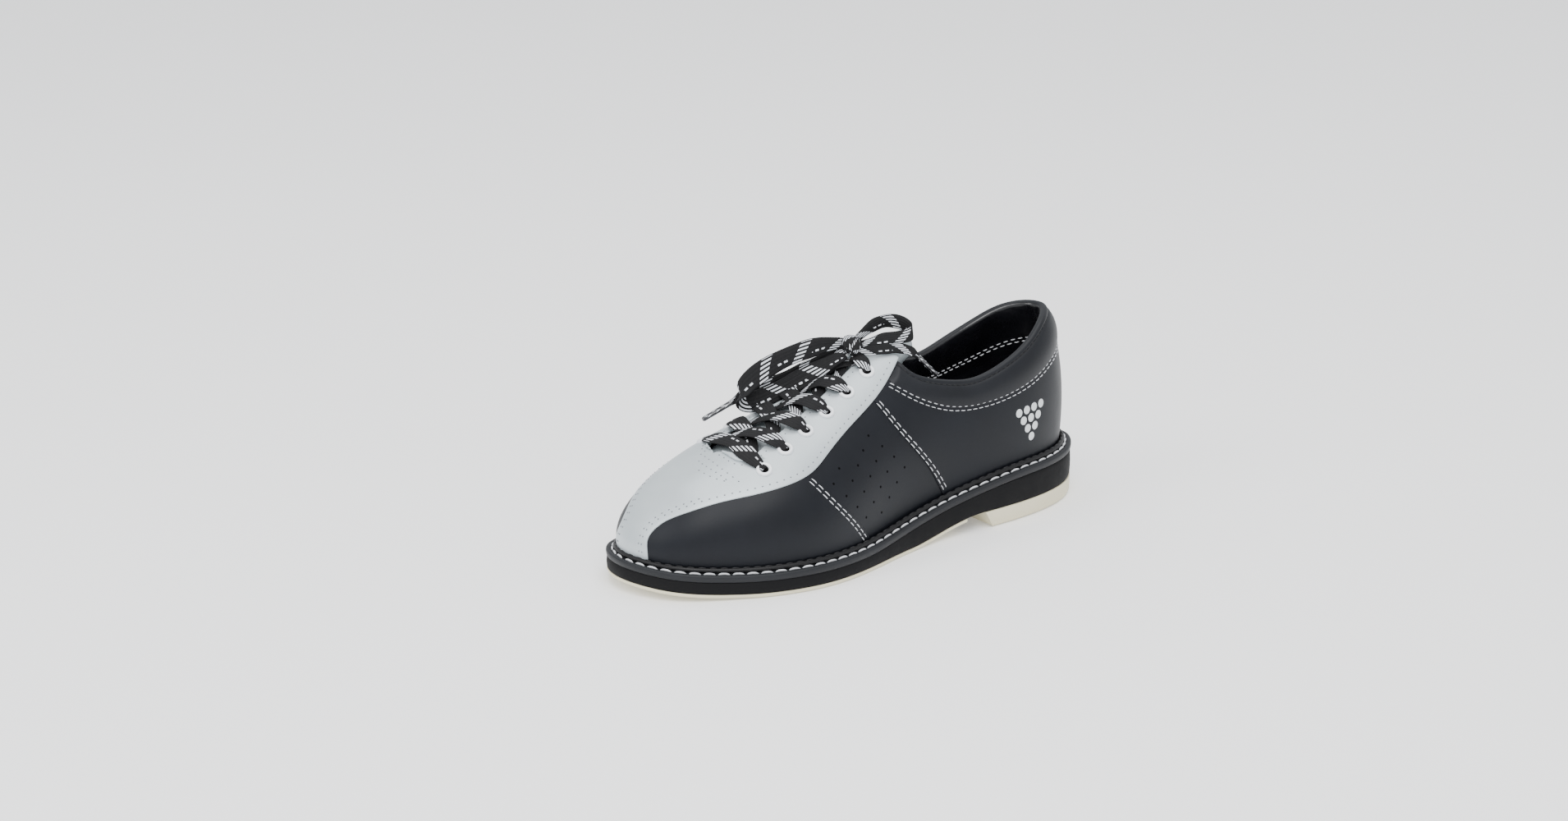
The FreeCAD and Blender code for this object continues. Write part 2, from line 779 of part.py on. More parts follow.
skin("toe_stripe", stripe_patch, 0.0, skin_in, columns=15, rows=23)
collar_patch = coons(both_ways(COLLAR_SEAM), both_ways(TOPLINE),
                     STRIPE_EDGE.between(STRIPE_COLLAR, STRIPE_END),
                     lambda share: (2 - STRIPE_EDGE.between(STRIPE_COLLAR, STRIPE_END)(share)[0],
                                    STRIPE_EDGE.between(STRIPE_COLLAR, STRIPE_END)(share)[1]))
skin("collar", collar_patch, 0.0, skin_in, columns=31, rows=5)
skin("collar_foam", collar_patch, stiff_out, foam_in, columns=31, rows=5)
skin("collar_lining", collar_patch, collar_lining_out, collar_lining_in, columns=31, rows=5)
skin("toe_puff", coons(straight((-0.2, 0.02), (0.2, 0.02)), straight((-0.11, 0.8), (0.11, 0.8)),
                       straight((-0.2, 0.02), (-0.11, 0.8)), straight((0.2, 0.02), (0.11, 0.8))),
     stiff_out, stiff_in, columns=17, rows=7)
skin("heel_counter", coons(straight((0.76, 0.02), (1.24, 0.02)), straight((0.82, 0.26), (1.18, 0.26)),
                           straight((0.76, 0.02), (0.82, 0.26)), straight((1.24, 0.02), (1.18, 0.26))),
     stiff_out, stiff_in, columns=17, rows=5)


# ---------------------------------------------------------------- eyelets and the facings they pierce

def eyelet_centre(side, number):
    """Plan position of an eyelet, number 0 at the throat."""
    y = row_front + number * size("eyelet_spacing")
    return throat_centre(y) + side * eyelet_reach(y), y


def eyelet_frame(side, number):
    """The point on the facing and the outward direction at an eyelet."""
    place = place_above(*eyelet_centre(side, number))
    return on_last(place), normal(*side_of(place[0]), place[1])


def eyelet_holes(side):
    """Cylinders that clear the eyelet barrels through one facing and its lining."""
    radius = size("eyelet_barrel") / 2 + size("layer_gap")
    depth = 6 * size("skin_thickness")
    holes = []
    for number in range(EYELETS):
        point, axis = eyelet_frame(side, number)
        holes.append(Part.makeCylinder(radius, depth, point - axis * depth / 2, axis))
    return holes


def eyelet_body(node, side, number):
    """One metal eyelet: a rolled flange on the facing and a barrel through it."""
    body = new_body(node)
    bore, barrel = size("eyelet_bore") / 2, size("eyelet_barrel") / 2
    rim, lip = size("eyelet_outer") / 2, size("eyelet_flange")
    foot = facing_in - 0.3
    rest = size("layer_gap") / 2
    revolved(body, node + "_turn", [(bore, foot), (barrel, foot), (barrel, rest), (rim, rest),
                                    (rim, rest + lip / 2), (rim - lip, rest + lip), (bore, rest + lip)])
    point, axis = eyelet_frame(side, number)
    body.Placement = placed_on(point, axis)


for side, word in ((1, "lateral"), (-1, "medial")):
    holes = eyelet_holes(side)
    facing = skin_shape(eyestay_patch(side), 0.0, skin_in, 19, 9)
    backing = skin_shape(eyestay_patch(side), stiff_out, facing_in, 19, 9)
    feature_of("eyestay_" + word, facing.cut(holes))
    feature_of("eyestay_lining_" + word, backing.cut(holes))
    for number in range(EYELETS):
        eyelet_body(f"eyelet_{word}_{number + 1}", side, number)


# ---------------------------------------------------------------- tongue

TONGUE_END_TAPER = 0.3
TONGUE_ROWS = 21
TONGUE_HALF_COLUMNS = 9
TAPER_RUN = 22.0
TUCK_START = -24.0
TUCK_RUN = 32.0


def tongue_grid(offset, margin):
    """Points of the tongue at an offset from the last, held back from its rim by a margin.

    Behind the facings the long edges tuck down inside the collar, and the top end is rounded in.
    """
    front = THROAT_FRONT * length_scale + 3
    low, high = front + margin, front + size("tongue_length") - margin
    grid = []
    for i in range(TONGUE_ROWS):
        y = low + (high - low) * i / (TONGUE_ROWS - 1)
        taper = 1 - TONGUE_END_TAPER * ease(1 - (front + size("tongue_length") - y) / TAPER_RUN)
        tuck = size("tongue_tuck") * ease((y - TUCK_START) / TUCK_RUN)
        full_half = size("tongue_width") / 2 * taper
        row = []
        for j in range(-TONGUE_HALF_COLUMNS, TONGUE_HALF_COLUMNS + 1):
            reach = (full_half - margin) * j / TONGUE_HALF_COLUMNS
            row.append(above(throat_centre(y) + reach, y, offset - tuck * (reach / full_half) ** 2))
        grid.append(row)
    return grid


tongue_top = facing_in - size("tongue_clearance")
tongue_skin_in = tongue_top - size("tongue_skin_thickness")
tongue_foam_out = tongue_skin_in - size("tongue_layer_gap")
tongue_foam_in = tongue_foam_out - size("tongue_foam_thickness")
tongue_lining_out = tongue_foam_in - size("tongue_layer_gap")
tongue_lining_in = tongue_lining_out - size("lining_thickness")
for node, top, low, margin in (("tongue", tongue_top, tongue_skin_in, 0.0),
                               ("tongue_foam", tongue_foam_out, tongue_foam_in, 1.5),
                               ("tongue_lining", tongue_lining_out, tongue_lining_in, 0.0)):
    feature_of(node, solid_between(tongue_grid(top, margin), tongue_grid(low, margin)))


# ---------------------------------------------------------------- lacing through the eyelets

EDGE_ROOM = 2.6
RISER_GAP = 3.6
RISER_LIFT = 3.4
LAST_SPAN_SHARE = 0.86      # length of the last crossing against the width of the throat


def ribbon(route, halves, lifts):
    """A flat ribbon over the last through plan points, with a half width and a lift at each."""
    marks = [i / (len(route) - 1) for i in range(len(route))]
    east = cubic_through(marks, [p[0] for p in route])
    north = cubic_through(marks, [p[1] for p in route])
    half = cubic_through(marks, halves)
    lift = cubic_through(marks, lifts)
    steps, across = 12, 4
    upper, lower = [], []
    for i in range(steps + 1):
        share = i / steps
        ahead = Vector(east(share + 0.01) - east(share - 0.01),
                       north(share + 0.01) - north(share - 0.01), 0)
        ahead.normalize()
        line_up, line_low = [], []
        for j in range(across + 1):
            shift = half(share) * (2 * j / across - 1)
            x, y = east(share) - ahead.y * shift, north(share) + ahead.x * shift
            base = lift(share)
            line_low.append(above(x, y, base))
            line_up.append(above(x, y, base + size("lace_thickness")))
        upper.append(line_up)
        lower.append(line_low)
    return solid_between(upper, lower)


def lacing_shapes():
    """The straight bar at the throat, the slanted spans that cross above it and the two risers."""
    on_flap = size("layer_gap") / 2 + size("eyelet_flange") + size("lace_lift")
    full, pinch = size("lace_width") * 0.62, size("eyelet_bore") * 0.4
    low_cross = on_flap - size("lace_thickness") - 3 * size("lace_lift")
    high_cross = on_flap + 2 * size("lace_lift")
    left, right = eyelet_centre(-1, 0), eyelet_centre(1, 0)
    middle = (throat_centre(row_front), row_front)
    quarter = [((a[0] + middle[0]) / 2, row_front) for a in (left, right)]
    shapes = [ribbon([left, quarter[0], middle, quarter[1], right],
                     [pinch, full, full * 0.85, full, pinch], [on_flap] * 5)]
    for number in range(1, EYELETS):
        for side in (1, -1):
            x1, y1 = eyelet_centre(side, number)
            y_mid = y1 - size("eyelet_spacing") * 0.42
            centre = (throat_centre(y_mid), y_mid)
            y0 = y1 - size("eyelet_spacing") * 0.8
            start = (throat_centre(y0) - side * (throat_reach(y0) - EDGE_ROOM), y0)
            cross = high_cross if side > 0 else low_cross
            if number < EYELETS - 1:
                leaf = ((x1 + centre[0]) / 2, y1 - size("eyelet_spacing") * 0.14)
                shapes.append(ribbon([start, centre, leaf, (x1, y1)],
                                     [full * 0.35, full * 0.4, full, pinch],
                                     [low_cross - 0.3, cross, on_flap, on_flap]))
            else:
                # the last span crosses over and stops short of both facings
                start = tuple(c + LAST_SPAN_SHARE * (s - c) for s, c in zip(start, centre))
                end = (2 * centre[0] - start[0], 2 * centre[1] - start[1])
                shapes.append(ribbon([start, centre, end], [full * 0.35, full * 0.4, full * 0.35],
                                     [low_cross - 0.3, cross, low_cross - 0.3]))
                foot = (throat_centre(y1) + side * RISER_GAP, y1 - 1)
                shapes.append(ribbon([(x1, y1), ((x1 + foot[0]) / 2, y1), foot],
                                     [pinch, full * 0.7, pinch], [on_flap, on_flap + 0.8, RISER_LIFT]))
    return shapes


feature_of("lacing", Part.makeCompound(lacing_shapes()))


# ---------------------------------------------------------------- the bow: knot, loops, tails, tips

KNOT_CENTRE = (2.0, -1.0, 101.5)
LOOP_FRONT = [(-1.2, -4.8, 102.6), (-2.0, -13.0, 103.8), (-4.0, -23.5, 102.7), (-7.0, -34.0, 100.2),
              (-10.5, -44.0, 96.0), (-14.0, -52.0, 90.3), (-17.2, -56.8, 84.0), (-18.4, -57.0, 78.4),
              (-16.2, -52.3, 76.0), (-12.5, -43.5, 79.2), (-8.5, -33.5, 83.6), (-4.5, -23.5, 88.6),
              (-0.5, -14.5, 93.6), (2.6, -5.8, 98.0)]
LOOP_REAR = [(1.5, 3.5, 104.5), (0.5, 10.5, 107.8), (0.2, 18.0, 109.8), (0.8, 25.0, 109.9),
             (4.0, 30.8, 108.2), (8.8, 33.0, 105.6), (12.6, 30.0, 104.2), (12.8, 23.5, 104.0),
             (10.6, 16.0, 103.9), (8.0, 9.0, 103.2), (5.0, 3.5, 102.0)]
TAIL_FRONT = [(-1.0, -4.5, 99.5), (-4.5, -11.5, 95.0), (-9.5, -20.5, 90.6), (-14.5, -31.0, 85.8),
              (-19.5, -42.0, 81.4), (-23.6, -52.0, 77.8), (-25.6, -57.5, 74.9)]
TAIL_REAR = [(4.5, 0.5, 98.7), (8.6, 7.0, 98.9), (12.2, 14.6, 99.4), (14.8, 22.0, 98.8),
             (16.0, 27.8, 96.4), (16.5, 31.5, 92.6)]
ARC_SHARE = 0.45


def scaled(point):
    """A bow point placed on the shoe: the bow keeps its own size and rides on the instep."""
    lift = ridge(0) - ridge_height(0)
    return Vector(point[0], point[1], point[2] + lift)


def tube(node, points):
    """Lace as straight runs joined by tangent arcs, each as large as its two runs allow."""
    points = [scaled(p) for p in points]
    edges = []
    radii = []
    start = points[0]
    for before, corner, after in zip(points, points[1:], points[2:]):
        back, ahead = before - corner, after - corner
        shorter = min(back.Length, ahead.Length)
        turn = math.pi - back.getAngle(ahead)
        cut = ARC_SHARE * shorter
        radii.append(cut / math.tan(turn / 2))
        enter = corner + back.normalize() * cut
        leave = corner + ahead.normalize() * cut
        bisector = (back + ahead).normalize()
        middle = corner + bisector * (radii[-1] / math.cos(turn / 2) - radii[-1])
        edges.append(Part.LineSegment(start, enter).toShape())
        edges.append(Part.Arc(enter, middle, leave).toShape())
        start = leave
    edges.append(Part.LineSegment(start, points[-1]).toShape())
    spine = Part.Wire(edges)
    radius = size("lace_tube") / 2
    section = Part.Wire([Part.makeCircle(radius, points[0], points[1] - points[0])])
    solid = spine.makePipeShell([section], True, True)
    expected = math.pi * radius ** 2 * spine.Length
    if abs(solid.Volume / expected - 1) > 0.01:
        raise ValueError(f"{node} tube volume is off")
    print(node, "length", round(spine.Length, 1), "radii", [round(r, 1) for r in radii])
    return feature_of(node, solid)


def tail_with_tip(word, points):
    """A free end of the lace and the moulded tip that butts against it."""
    tube("lace_tail_" + word, points)
    body = new_body("aglet_" + word)
    radius, length = size("aglet_diameter") / 2, size("aglet_length")
    bevel = radius / 3
    revolved(body, f"aglet_{word}_turn", [(0, 0), (radius, 0), (radius, length - bevel),
                                          (radius - bevel, length), (0, length)])
    end, before = scaled(points[-1]), scaled(points[-2])
    body.Placement = placed_on(end, end - before)


knot = doc.addObject("Part::Ellipsoid", "lace_knot")
knot.setExpression("Radius2", "sizes.knot_width / 2")
knot.setExpression("Radius3", "sizes.knot_length / 2")
knot.setExpression("Radius1", "sizes.knot_height / 2")
knot.Placement = Placement(scaled(KNOT_CENTRE), Rotation())
keep("lace_knot", knot)
tube("lace_loop_front", LOOP_FRONT)
tube("lace_loop_rear", LOOP_REAR)
tail_with_tip("front", TAIL_FRONT)
tail_with_tip("rear", TAIL_REAR)

# ---------------------------------------------------------------- placing in the frame

# Everything above is laid out about the centre ridge; the frame's x = 0 is the middle of the sole.
plan_xs = [x for x, y in welt_outline.points]
to_middle = Placement(Vector(-(min(plan_xs) + max(plan_xs)) / 2, 0, 0), Rotation())
print("ridge lies at x", round(to_middle.Base.x, 2), "y range",
      round(min(y for x, y in welt_outline.points), 2), round(max(y for x, y in welt_outline.points), 2))
for feature in parts.values():
    feature.Placement = to_middle.multiply(feature.Placement)

# ---------------------------------------------------------------- check and write

doc.recompute()
for item in doc.Objects:
    if "Invalid" in item.State or "Error" in item.State:
        raise RuntimeError(f"{item.Label} failed: {item.State}")
for node, feature in parts.items():
    shape = feature.Shape
    if shape.isNull() or not shape.isValid() or shape.Volume <= 0:
        raise RuntimeError(f"{node} has no sound solid")

os.makedirs("parts", exist_ok=True)
for node, feature in parts.items():
    feature.Shape.exportStep(f"parts/{node}.step")
print(len(parts), "sub-parts written")
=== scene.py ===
"""Left bowling shoe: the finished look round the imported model.

Lengths are millimetres until a mesh is made, then metres. The upper lies on one smooth last. A
place on it is (run, rise): run goes from 0 at the toe to 1 at the heel on the outer side, and on
below 0 or beyond 1 round to the inner side; rise goes from 0 at the welt to 1 on the ridge.
"""
from __future__ import annotations

import json
import logging
import math
from dataclasses import dataclass, field
from enum import Enum
from typing import Callable, Sequence

import bmesh
import bpy
import numpy as np
from mathutils import Matrix, Vector

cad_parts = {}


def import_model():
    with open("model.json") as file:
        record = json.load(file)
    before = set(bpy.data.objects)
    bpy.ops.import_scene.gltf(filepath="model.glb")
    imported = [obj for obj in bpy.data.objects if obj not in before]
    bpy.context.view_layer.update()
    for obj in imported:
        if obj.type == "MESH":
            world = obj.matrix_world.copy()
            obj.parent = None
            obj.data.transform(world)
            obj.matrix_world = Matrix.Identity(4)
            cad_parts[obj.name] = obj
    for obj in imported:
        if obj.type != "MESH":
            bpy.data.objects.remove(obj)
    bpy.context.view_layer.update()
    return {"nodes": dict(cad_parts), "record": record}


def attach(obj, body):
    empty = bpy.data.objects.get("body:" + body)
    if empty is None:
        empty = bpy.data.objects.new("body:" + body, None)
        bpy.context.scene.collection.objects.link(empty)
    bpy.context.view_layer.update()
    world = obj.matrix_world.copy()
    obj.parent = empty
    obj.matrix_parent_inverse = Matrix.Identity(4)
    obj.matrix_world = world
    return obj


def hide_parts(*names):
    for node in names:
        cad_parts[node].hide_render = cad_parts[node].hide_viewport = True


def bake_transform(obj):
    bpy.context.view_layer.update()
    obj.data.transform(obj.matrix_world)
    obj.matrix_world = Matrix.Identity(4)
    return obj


Array = np.ndarray
Curve = Callable[[Array], Array]
Patch = Callable[[Array, Array], Array]
Colour = tuple[float, float, float]

MM = 0.001
log = logging.getLogger("bowling_shoe")


class Side(Enum):
    """The two sides of the shoe."""

    LATERAL = 1
    MEDIAL = -1

    @property
    def word(self) -> str:
        """The side's name in a piece's name."""
        return self.name.lower()


# ---------------------------------------------------------------- curves and the last


def natural_cubic(stations: Sequence[float], values: Sequence[float]) -> Curve:
    """A natural cubic curve through values at stations.

    Args:
        stations: Rising positions.
        values: The value at each of them.

    Returns:
        The curve as a function of an array of positions.
    """
    at, value = np.asarray(stations, float), np.asarray(values, float)
    count, step = len(at), np.diff(at)
    system, pull = np.eye(count), np.zeros(count)
    for i in range(1, count - 1):
        system[i, i - 1:i + 2] = step[i - 1], 2 * (step[i - 1] + step[i]), step[i]
        pull[i] = 6 * ((value[i + 1] - value[i]) / step[i] - (value[i] - value[i - 1]) / step[i - 1])
    bend = np.linalg.solve(system, pull)

    def curve(position: Array) -> Array:
        """The curve's value at each position."""
        position = np.asarray(position, float)
        i = np.clip(np.searchsorted(at, position) - 1, 0, count - 2)
        left, right, span = at[i + 1] - position, position - at[i], step[i]
        cubic = (bend[i] * left ** 3 + bend[i + 1] * right ** 3) / (6 * span)
        low = (value[i] / span - bend[i] * span / 6) * left
        return cubic + low + (value[i + 1] / span - bend[i + 1] * span / 6) * right

    return curve


def ease(share: Array) -> Array:
    """Smooth step from 0 to 1."""
    share = np.clip(share, 0.0, 1.0)
    return share * share * (3 - 2 * share)


class SeamLine:
    """A smooth open line through places, read by a share of the way between two of them."""

    def __init__(self, places: Sequence[tuple[float, float]]) -> None:
        """Args: places: the places that the line passes through."""
        self.places = np.asarray(places, float)
        chords = np.linalg.norm(np.diff(self.places, axis=0), axis=1)
        self.marks = np.concatenate([[0.0], np.cumsum(chords)])
        self.run = natural_cubic(self.marks, self.places[:, 0])
        self.rise = natural_cubic(self.marks, self.places[:, 1])

    def between(self, start: int, end: int) -> Curve:
        """The stretch from one of the places to another, as a function of 0..1."""
        low, high = self.marks[start], self.marks[end]

        def stretch(share: Array) -> Array:
            """Places at shares of the stretch."""
            mark = low + (high - low) * np.asarray(share, float)
            return np.stack([self.run(mark), self.rise(mark)], axis=-1)

        return stretch

    def whole(self) -> Curve:
        """The whole line as a function of 0..1."""
        return self.between(0, len(self.places) - 1)


def straight(start: Sequence[float], end: Sequence[float]) -> Curve:
    """A straight line between two places."""
    first, last = np.asarray(start, float), np.asarray(end, float)

    def line(share: Array) -> Array:
        """Places at shares of the line."""
        share = np.asarray(share, float)[..., None]
        return first + (last - first) * share

    return line


def joined(first: Curve, second: Curve, turn: float) -> Curve:
    """Two lines end to end, the first of them up to a share of the whole."""

    def line(share: Array) -> Array:
        """Places at shares of the joined line."""
        share = np.asarray(share, float)
        low, high = first(np.clip(share / turn, 0, 1)), second(np.clip((share - turn) / (1 - turn), 0, 1))
        return np.where((share < turn)[..., None], low, high)

    return line


def mirrored(line: Curve) -> Curve:
    """The same line on the inner side."""

    def inner(share: Array) -> Array:
        """Places at shares of the line."""
        return line(share) * np.array([-1.0, 1.0])

    return inner


def coons(foot: Curve, head: Curve, front: Curve, rear: Curve) -> Patch:
    """A four-sided patch between lines.

    Args:
        foot: Lower edge, front to rear.
        head: Upper edge, front to rear.
        front: Front edge, foot to head.
        rear: Rear edge, foot to head.

    Returns:
        The patch as a function of (along, up) arrays.
    """

    def patch(along: Array, up: Array) -> Array:
        """Places at the given shares along and up."""
        a, b = along[..., None], up[..., None]
        rows = (1 - b) * foot(along) + b * head(along)
        columns = (1 - a) * front(up) + a * rear(up)
        zero, one = np.zeros(()), np.ones(())
        flat = ((1 - a) * (1 - b) * foot(zero) + a * (1 - b) * foot(one)
                + (1 - a) * b * head(zero) + a * b * head(one))
        return rows + columns - flat

    return patch


class Outline:
    """A closed smooth plan outline, read by distance along it."""

    OVERLAP = 4
    SAMPLES = 400

    def __init__(self, points: Sequence[tuple[float, float]]) -> None:
        """Args: points: plan points in order round the outline."""
        points = list(points)
        ring = np.array(points[-self.OVERLAP:] + points + points[:self.OVERLAP + 1], float)
        chords = np.sqrt(np.linalg.norm(np.diff(ring, axis=0), axis=1))
        marks = np.concatenate([[0.0], np.cumsum(chords)])
        first, last = marks[self.OVERLAP], marks[self.OVERLAP + len(points)]
        mark = np.linspace(first, last, self.SAMPLES + 1)
        self.points = np.stack([natural_cubic(marks, ring[:, 0])(mark),
                                natural_cubic(marks, ring[:, 1])(mark)], axis=-1)
        steps = np.linalg.norm(np.diff(self.points, axis=0), axis=1)
        self.marks = np.concatenate([[0.0], np.cumsum(steps)])
        self.length = float(self.marks[-1])

    def at(self, distance: Array) -> Array:
        """Points at distances along the outline."""
        distance = np.mod(distance, self.length)
        return np.stack([np.interp(distance, self.marks, self.points[:, 0]),
                         np.interp(distance, self.marks, self.points[:, 1])], axis=-1)

    def inward(self, distance: Array, reach: float = 1.0) -> Array:
        """Unit vectors into the outline at distances along it."""
        run = self.at(distance + reach) - self.at(distance - reach)
        run /= np.linalg.norm(run, axis=-1, keepdims=True)
        return np.stack([-run[..., 1], run[..., 0]], axis=-1)

    def inset(self, depth: float, count: int = 44) -> "Outline":
        """The same outline moved in by a depth."""
        distance = self.length * np.arange(count) / count
        moved = self.at(distance) + self.inward(distance) * depth
        return Outline([tuple(p) for p in moved])


@dataclass
class Last:
    """The form that the shoe is built round: the sole's plan and the surface of the upper."""

    sole_length: float = 290.0
    pattern_length: float = 290.4
    pattern_margin: float = 3.2
    welt_margin: float = 7.2
    outsole: float = 1.8
    midsole: float = 6.4
    welt: float = 3.8
    heel_pad: float = 9.0
    heel_pad_length: float = 87.0
    heel_rise: float = 15.0
    toe_spring: float = 4.5
    bulge: float = 0.135
    stations: tuple = (-132, -115, -90, -60, -30, 0, 30, 60, 90, 115, 132)
    outer_half: tuple = (24, 36, 47.5, 54, 50.5, 42.5, 38, 37.5, 36, 30, 19)
    inner_half: tuple = (26, 36, 44, 46, 41, 34, 30, 30, 32.5, 28.5, 18.5)
    toe_tip: tuple = (-3, -142)
    heel_back: tuple = (0, 142)
    ridge_stations: tuple = (-150, -128, -104, -85, -65, -45, -20, 5, 30, 55, 80, 110, 140)
    ridge_heights: tuple = (34, 46, 55.5, 61.5, 68, 74.5, 84, 94.5, 104, 111, 117, 124, 130)
    wall_stations: tuple = (-140, -100, -60, 0, 60, 100, 140)
    wall_fullness: tuple = (0.09, 0.08, 0.05, 0.02, 0.03, 0.05, 0.06)
    toe_fan: tuple = (-40.0, 98.0, 40.0)
    heel_fan: tuple = (20.0, 118.0, 46.0)

    def __post_init__(self) -> None:
        """Works out the outlines and the ridge."""
        self.scale = self.sole_length / self.pattern_length
        outer = list(zip(self.outer_half, self.stations))
        inner = [(-x, y) for x, y in zip(reversed(self.inner_half), reversed(self.stations))]
        ring = [self.toe_tip] + outer + [self.heel_back] + inner
        stitch = Outline([(x, y * self.scale) for x, y in ring])
        self.edge = stitch.inset(-self.pattern_margin)
        self.feather = self.edge.inset(self.welt_margin)
        self.ridge_x = -(self.edge.points[:, 0].min() + self.edge.points[:, 0].max()) / 2
        self.ridge_curve = natural_cubic(self.ridge_stations, self.ridge_heights)
        self.fullness = natural_cubic(self.wall_stations, self.wall_fullness)
        self.heel_front = self.sole_length / 2 - self.heel_pad_length

    def spans(self, outline: Outline) -> tuple[float, float, float]:
        """The toe mark of an outline and its lengths to the heel on the outer and inner side."""
        toe = outline.marks[int(np.argmin(outline.points[:-1, 1]))]
        heel = outline.marks[int(np.argmax(outline.points[:-1, 1]))]
        return toe, (heel - toe) % outline.length, (toe - heel) % outline.length

    def plan(self, outline: Outline, run: Array, inset: float = 0.0) -> Array:
        """Plan points of an outline at runs, moved in by an inset."""
        toe, outer, inner = self.spans(outline)
        run = np.asarray(run, float)
        along = np.where(run < 0, -run, np.where(run > 1, 2 - run, run))
        outside = (run >= 0) & (run <= 1)
        distance = np.where(outside, toe + outer * along, toe - inner * along)
        return outline.at(distance) + outline.inward(distance) * inset

    def toe_lift(self, y: Array) -> Array:
        """How far the toe rises off the floor."""
        return self.toe_spring * np.maximum(0.0, (-85 * self.scale - y) / (57 * self.scale)) ** 2

    def outsole_bottom(self, y: Array) -> Array:
        """The walking face of the forefoot and the arch."""
        start = 5 * self.scale
        climb = self.heel_pad - self.outsole
        return self.toe_lift(y) + climb * ease((y - start) / (self.heel_front - start))

    def midsole_bottom(self, y: Array) -> Array:
        """The under face of the midsole."""
        return self.outsole_bottom(y) + self.outsole

    def seat(self, y: Array) -> Array:
        """The top face of the welt."""
        rise = ease((y + 35 * self.scale) / (130 * self.scale))
        return self.outsole + self.midsole + self.welt + self.heel_rise * rise + self.toe_lift(y)

    def midsole_top(self, y: Array) -> Array:
        """The top face of the midsole, under the welt."""
        return self.seat(y) - self.welt

    def ridge_station(self, y: Array) -> Array:
        """The station on the ridge that the profile from a station on the welt climbs to."""
        y = y / self.scale
        start, run, reach = self.toe_fan
        moved = y + reach * (np.maximum(0.0, start - y) / run) ** 2
        start, run, reach = self.heel_fan
        moved = moved - reach * (np.maximum(0.0, y - start) / run) ** 2
        return moved * self.scale

    def bare(self, places: Array) -> Array:
        """Points of the last at places."""
        run, rise = places[..., 0], places[..., 1]
        foot_plan = self.plan(self.feather, run)
        x_foot, y_foot = foot_plan[..., 0], foot_plan[..., 1]
        y_top = self.ridge_station(y_foot)
        angle = rise * np.pi / 2
        full = 1 + self.fullness(y_foot / self.scale) * np.sin(2 * angle) ** 2
        out = np.cos(angle) * full + self.bulge * np.sin(np.pi * rise) * (1 - rise) ** 2
        y = y_top + (y_foot - y_top) * out
        foot = self.seat(y_foot)
        height = foot + (self.ridge_curve(y / self.scale) - foot) * np.sin(angle) * full
        return np.stack([x_foot * out, y, height], axis=-1)

    def tangents(self, places: Array, step: float = 2e-3) -> tuple[Array, Array]:
        """Derivatives of the surface by run and by rise."""
        ahead, up = np.array([step, 0.0]), np.array([0.0, step])
        return ((self.bare(places + ahead) - self.bare(places - ahead)) / (2 * step),
                (self.bare(places + up) - self.bare(places - up)) / (2 * step))

    def normals(self, places: Array) -> Array:
        """Outward directions at places."""
        along, up = self.tangents(places)
        out = np.cross(along, up)
        return out / np.linalg.norm(out, axis=-1, keepdims=True)

    def points(self, places: Array, lift: Array | float = 0.0) -> Array:
        """Points at places, moved out by a lift."""
        lift = np.asarray(lift, float)[..., None] if np.ndim(lift) else lift
        return self.bare(places) + self.normals(places) * lift

    def shifted(self, line: Curve, distance: float) -> Curve:
        """A line moved sideways on the surface.

        Args:
            line: The line.
            distance: How far to its left, as seen from outside, in mm.

        Returns:
            The moved line.
        """

        def moved(share: Array) -> Array:
            """Places at shares of the moved line."""
            share = np.asarray(share, float)
            reach = 5e-3
            here = line(share)
            tangent = self.bare(line(share + reach)) - self.bare(line(share - reach))
            return here + self.sideways(here, tangent, distance)

        return moved

    def sideways(self, here: Array, tangent: Array, distance: float) -> Array:
        """Change of place for a move to the left of a direction at a place."""
        along, up = self.tangents(here)
        left = np.cross(np.cross(along, up), tangent)
        left *= distance / np.linalg.norm(left, axis=-1, keepdims=True)
        return self.solve(along, up, left)

    def far_shifted(self, places: Array, distance: float, step: float = 2.0) -> Array:
        """A row of places moved sideways by a long distance, in short steps."""
        count = max(1, int(abs(distance) / step))
        for _ in range(count):
            tangent = np.gradient(self.bare(places), axis=0)
            places = places + self.sideways(places, tangent, distance / count)
        return places

    @staticmethod
    def solve(along: Array, up: Array, move: Array) -> Array:
        """The change of place that makes a move on the surface."""
        aa, bb = (along * along).sum(-1), (up * up).sum(-1)
        ab = (along * up).sum(-1)
        am, bm = (along * move).sum(-1), (up * move).sum(-1)
        scale = aa * bb - ab * ab
        return np.stack([(am * bb - bm * ab) / scale, (aa * bm - ab * am) / scale], axis=-1)

    def above(self, x: Array, y: Array) -> Array:
        """Places of the last's points that lie over plan positions."""
        x, y = np.broadcast_arrays(np.asarray(x, float), np.asarray(y, float))
        side = np.where(x >= 0, 1.0, -1.0)
        along = 0.5 + y / (0.95 * self.sole_length)
        rise = np.full(x.shape, 0.8)
        step = 1e-4
        for _ in range(16):
            here = self.bare(np.stack([side * along, rise], -1))
            ahead = self.bare(np.stack([side * (along + step), rise], -1)) - here
            lift = self.bare(np.stack([side * along, rise - step], -1)) - here
            a, b = ahead[..., 0] / step, -lift[..., 0] / step
            c, d = ahead[..., 1] / step, -lift[..., 1] / step
            miss_x, miss_y = x - here[..., 0], y - here[..., 1]
            scale = a * d - b * c
            scale = np.where(np.abs(scale) < 1e-9, 1e-9, scale)
            along = along + np.clip((miss_x * d - miss_y * b) / scale, -0.05, 0.05)
            rise = rise + np.clip((a * miss_y - c * miss_x) / scale, -0.1, 0.1)
            along, rise = np.clip(along, 0.001, 0.999), np.clip(rise, 0.001, 1.0)
        return np.stack([side * along, rise], -1)

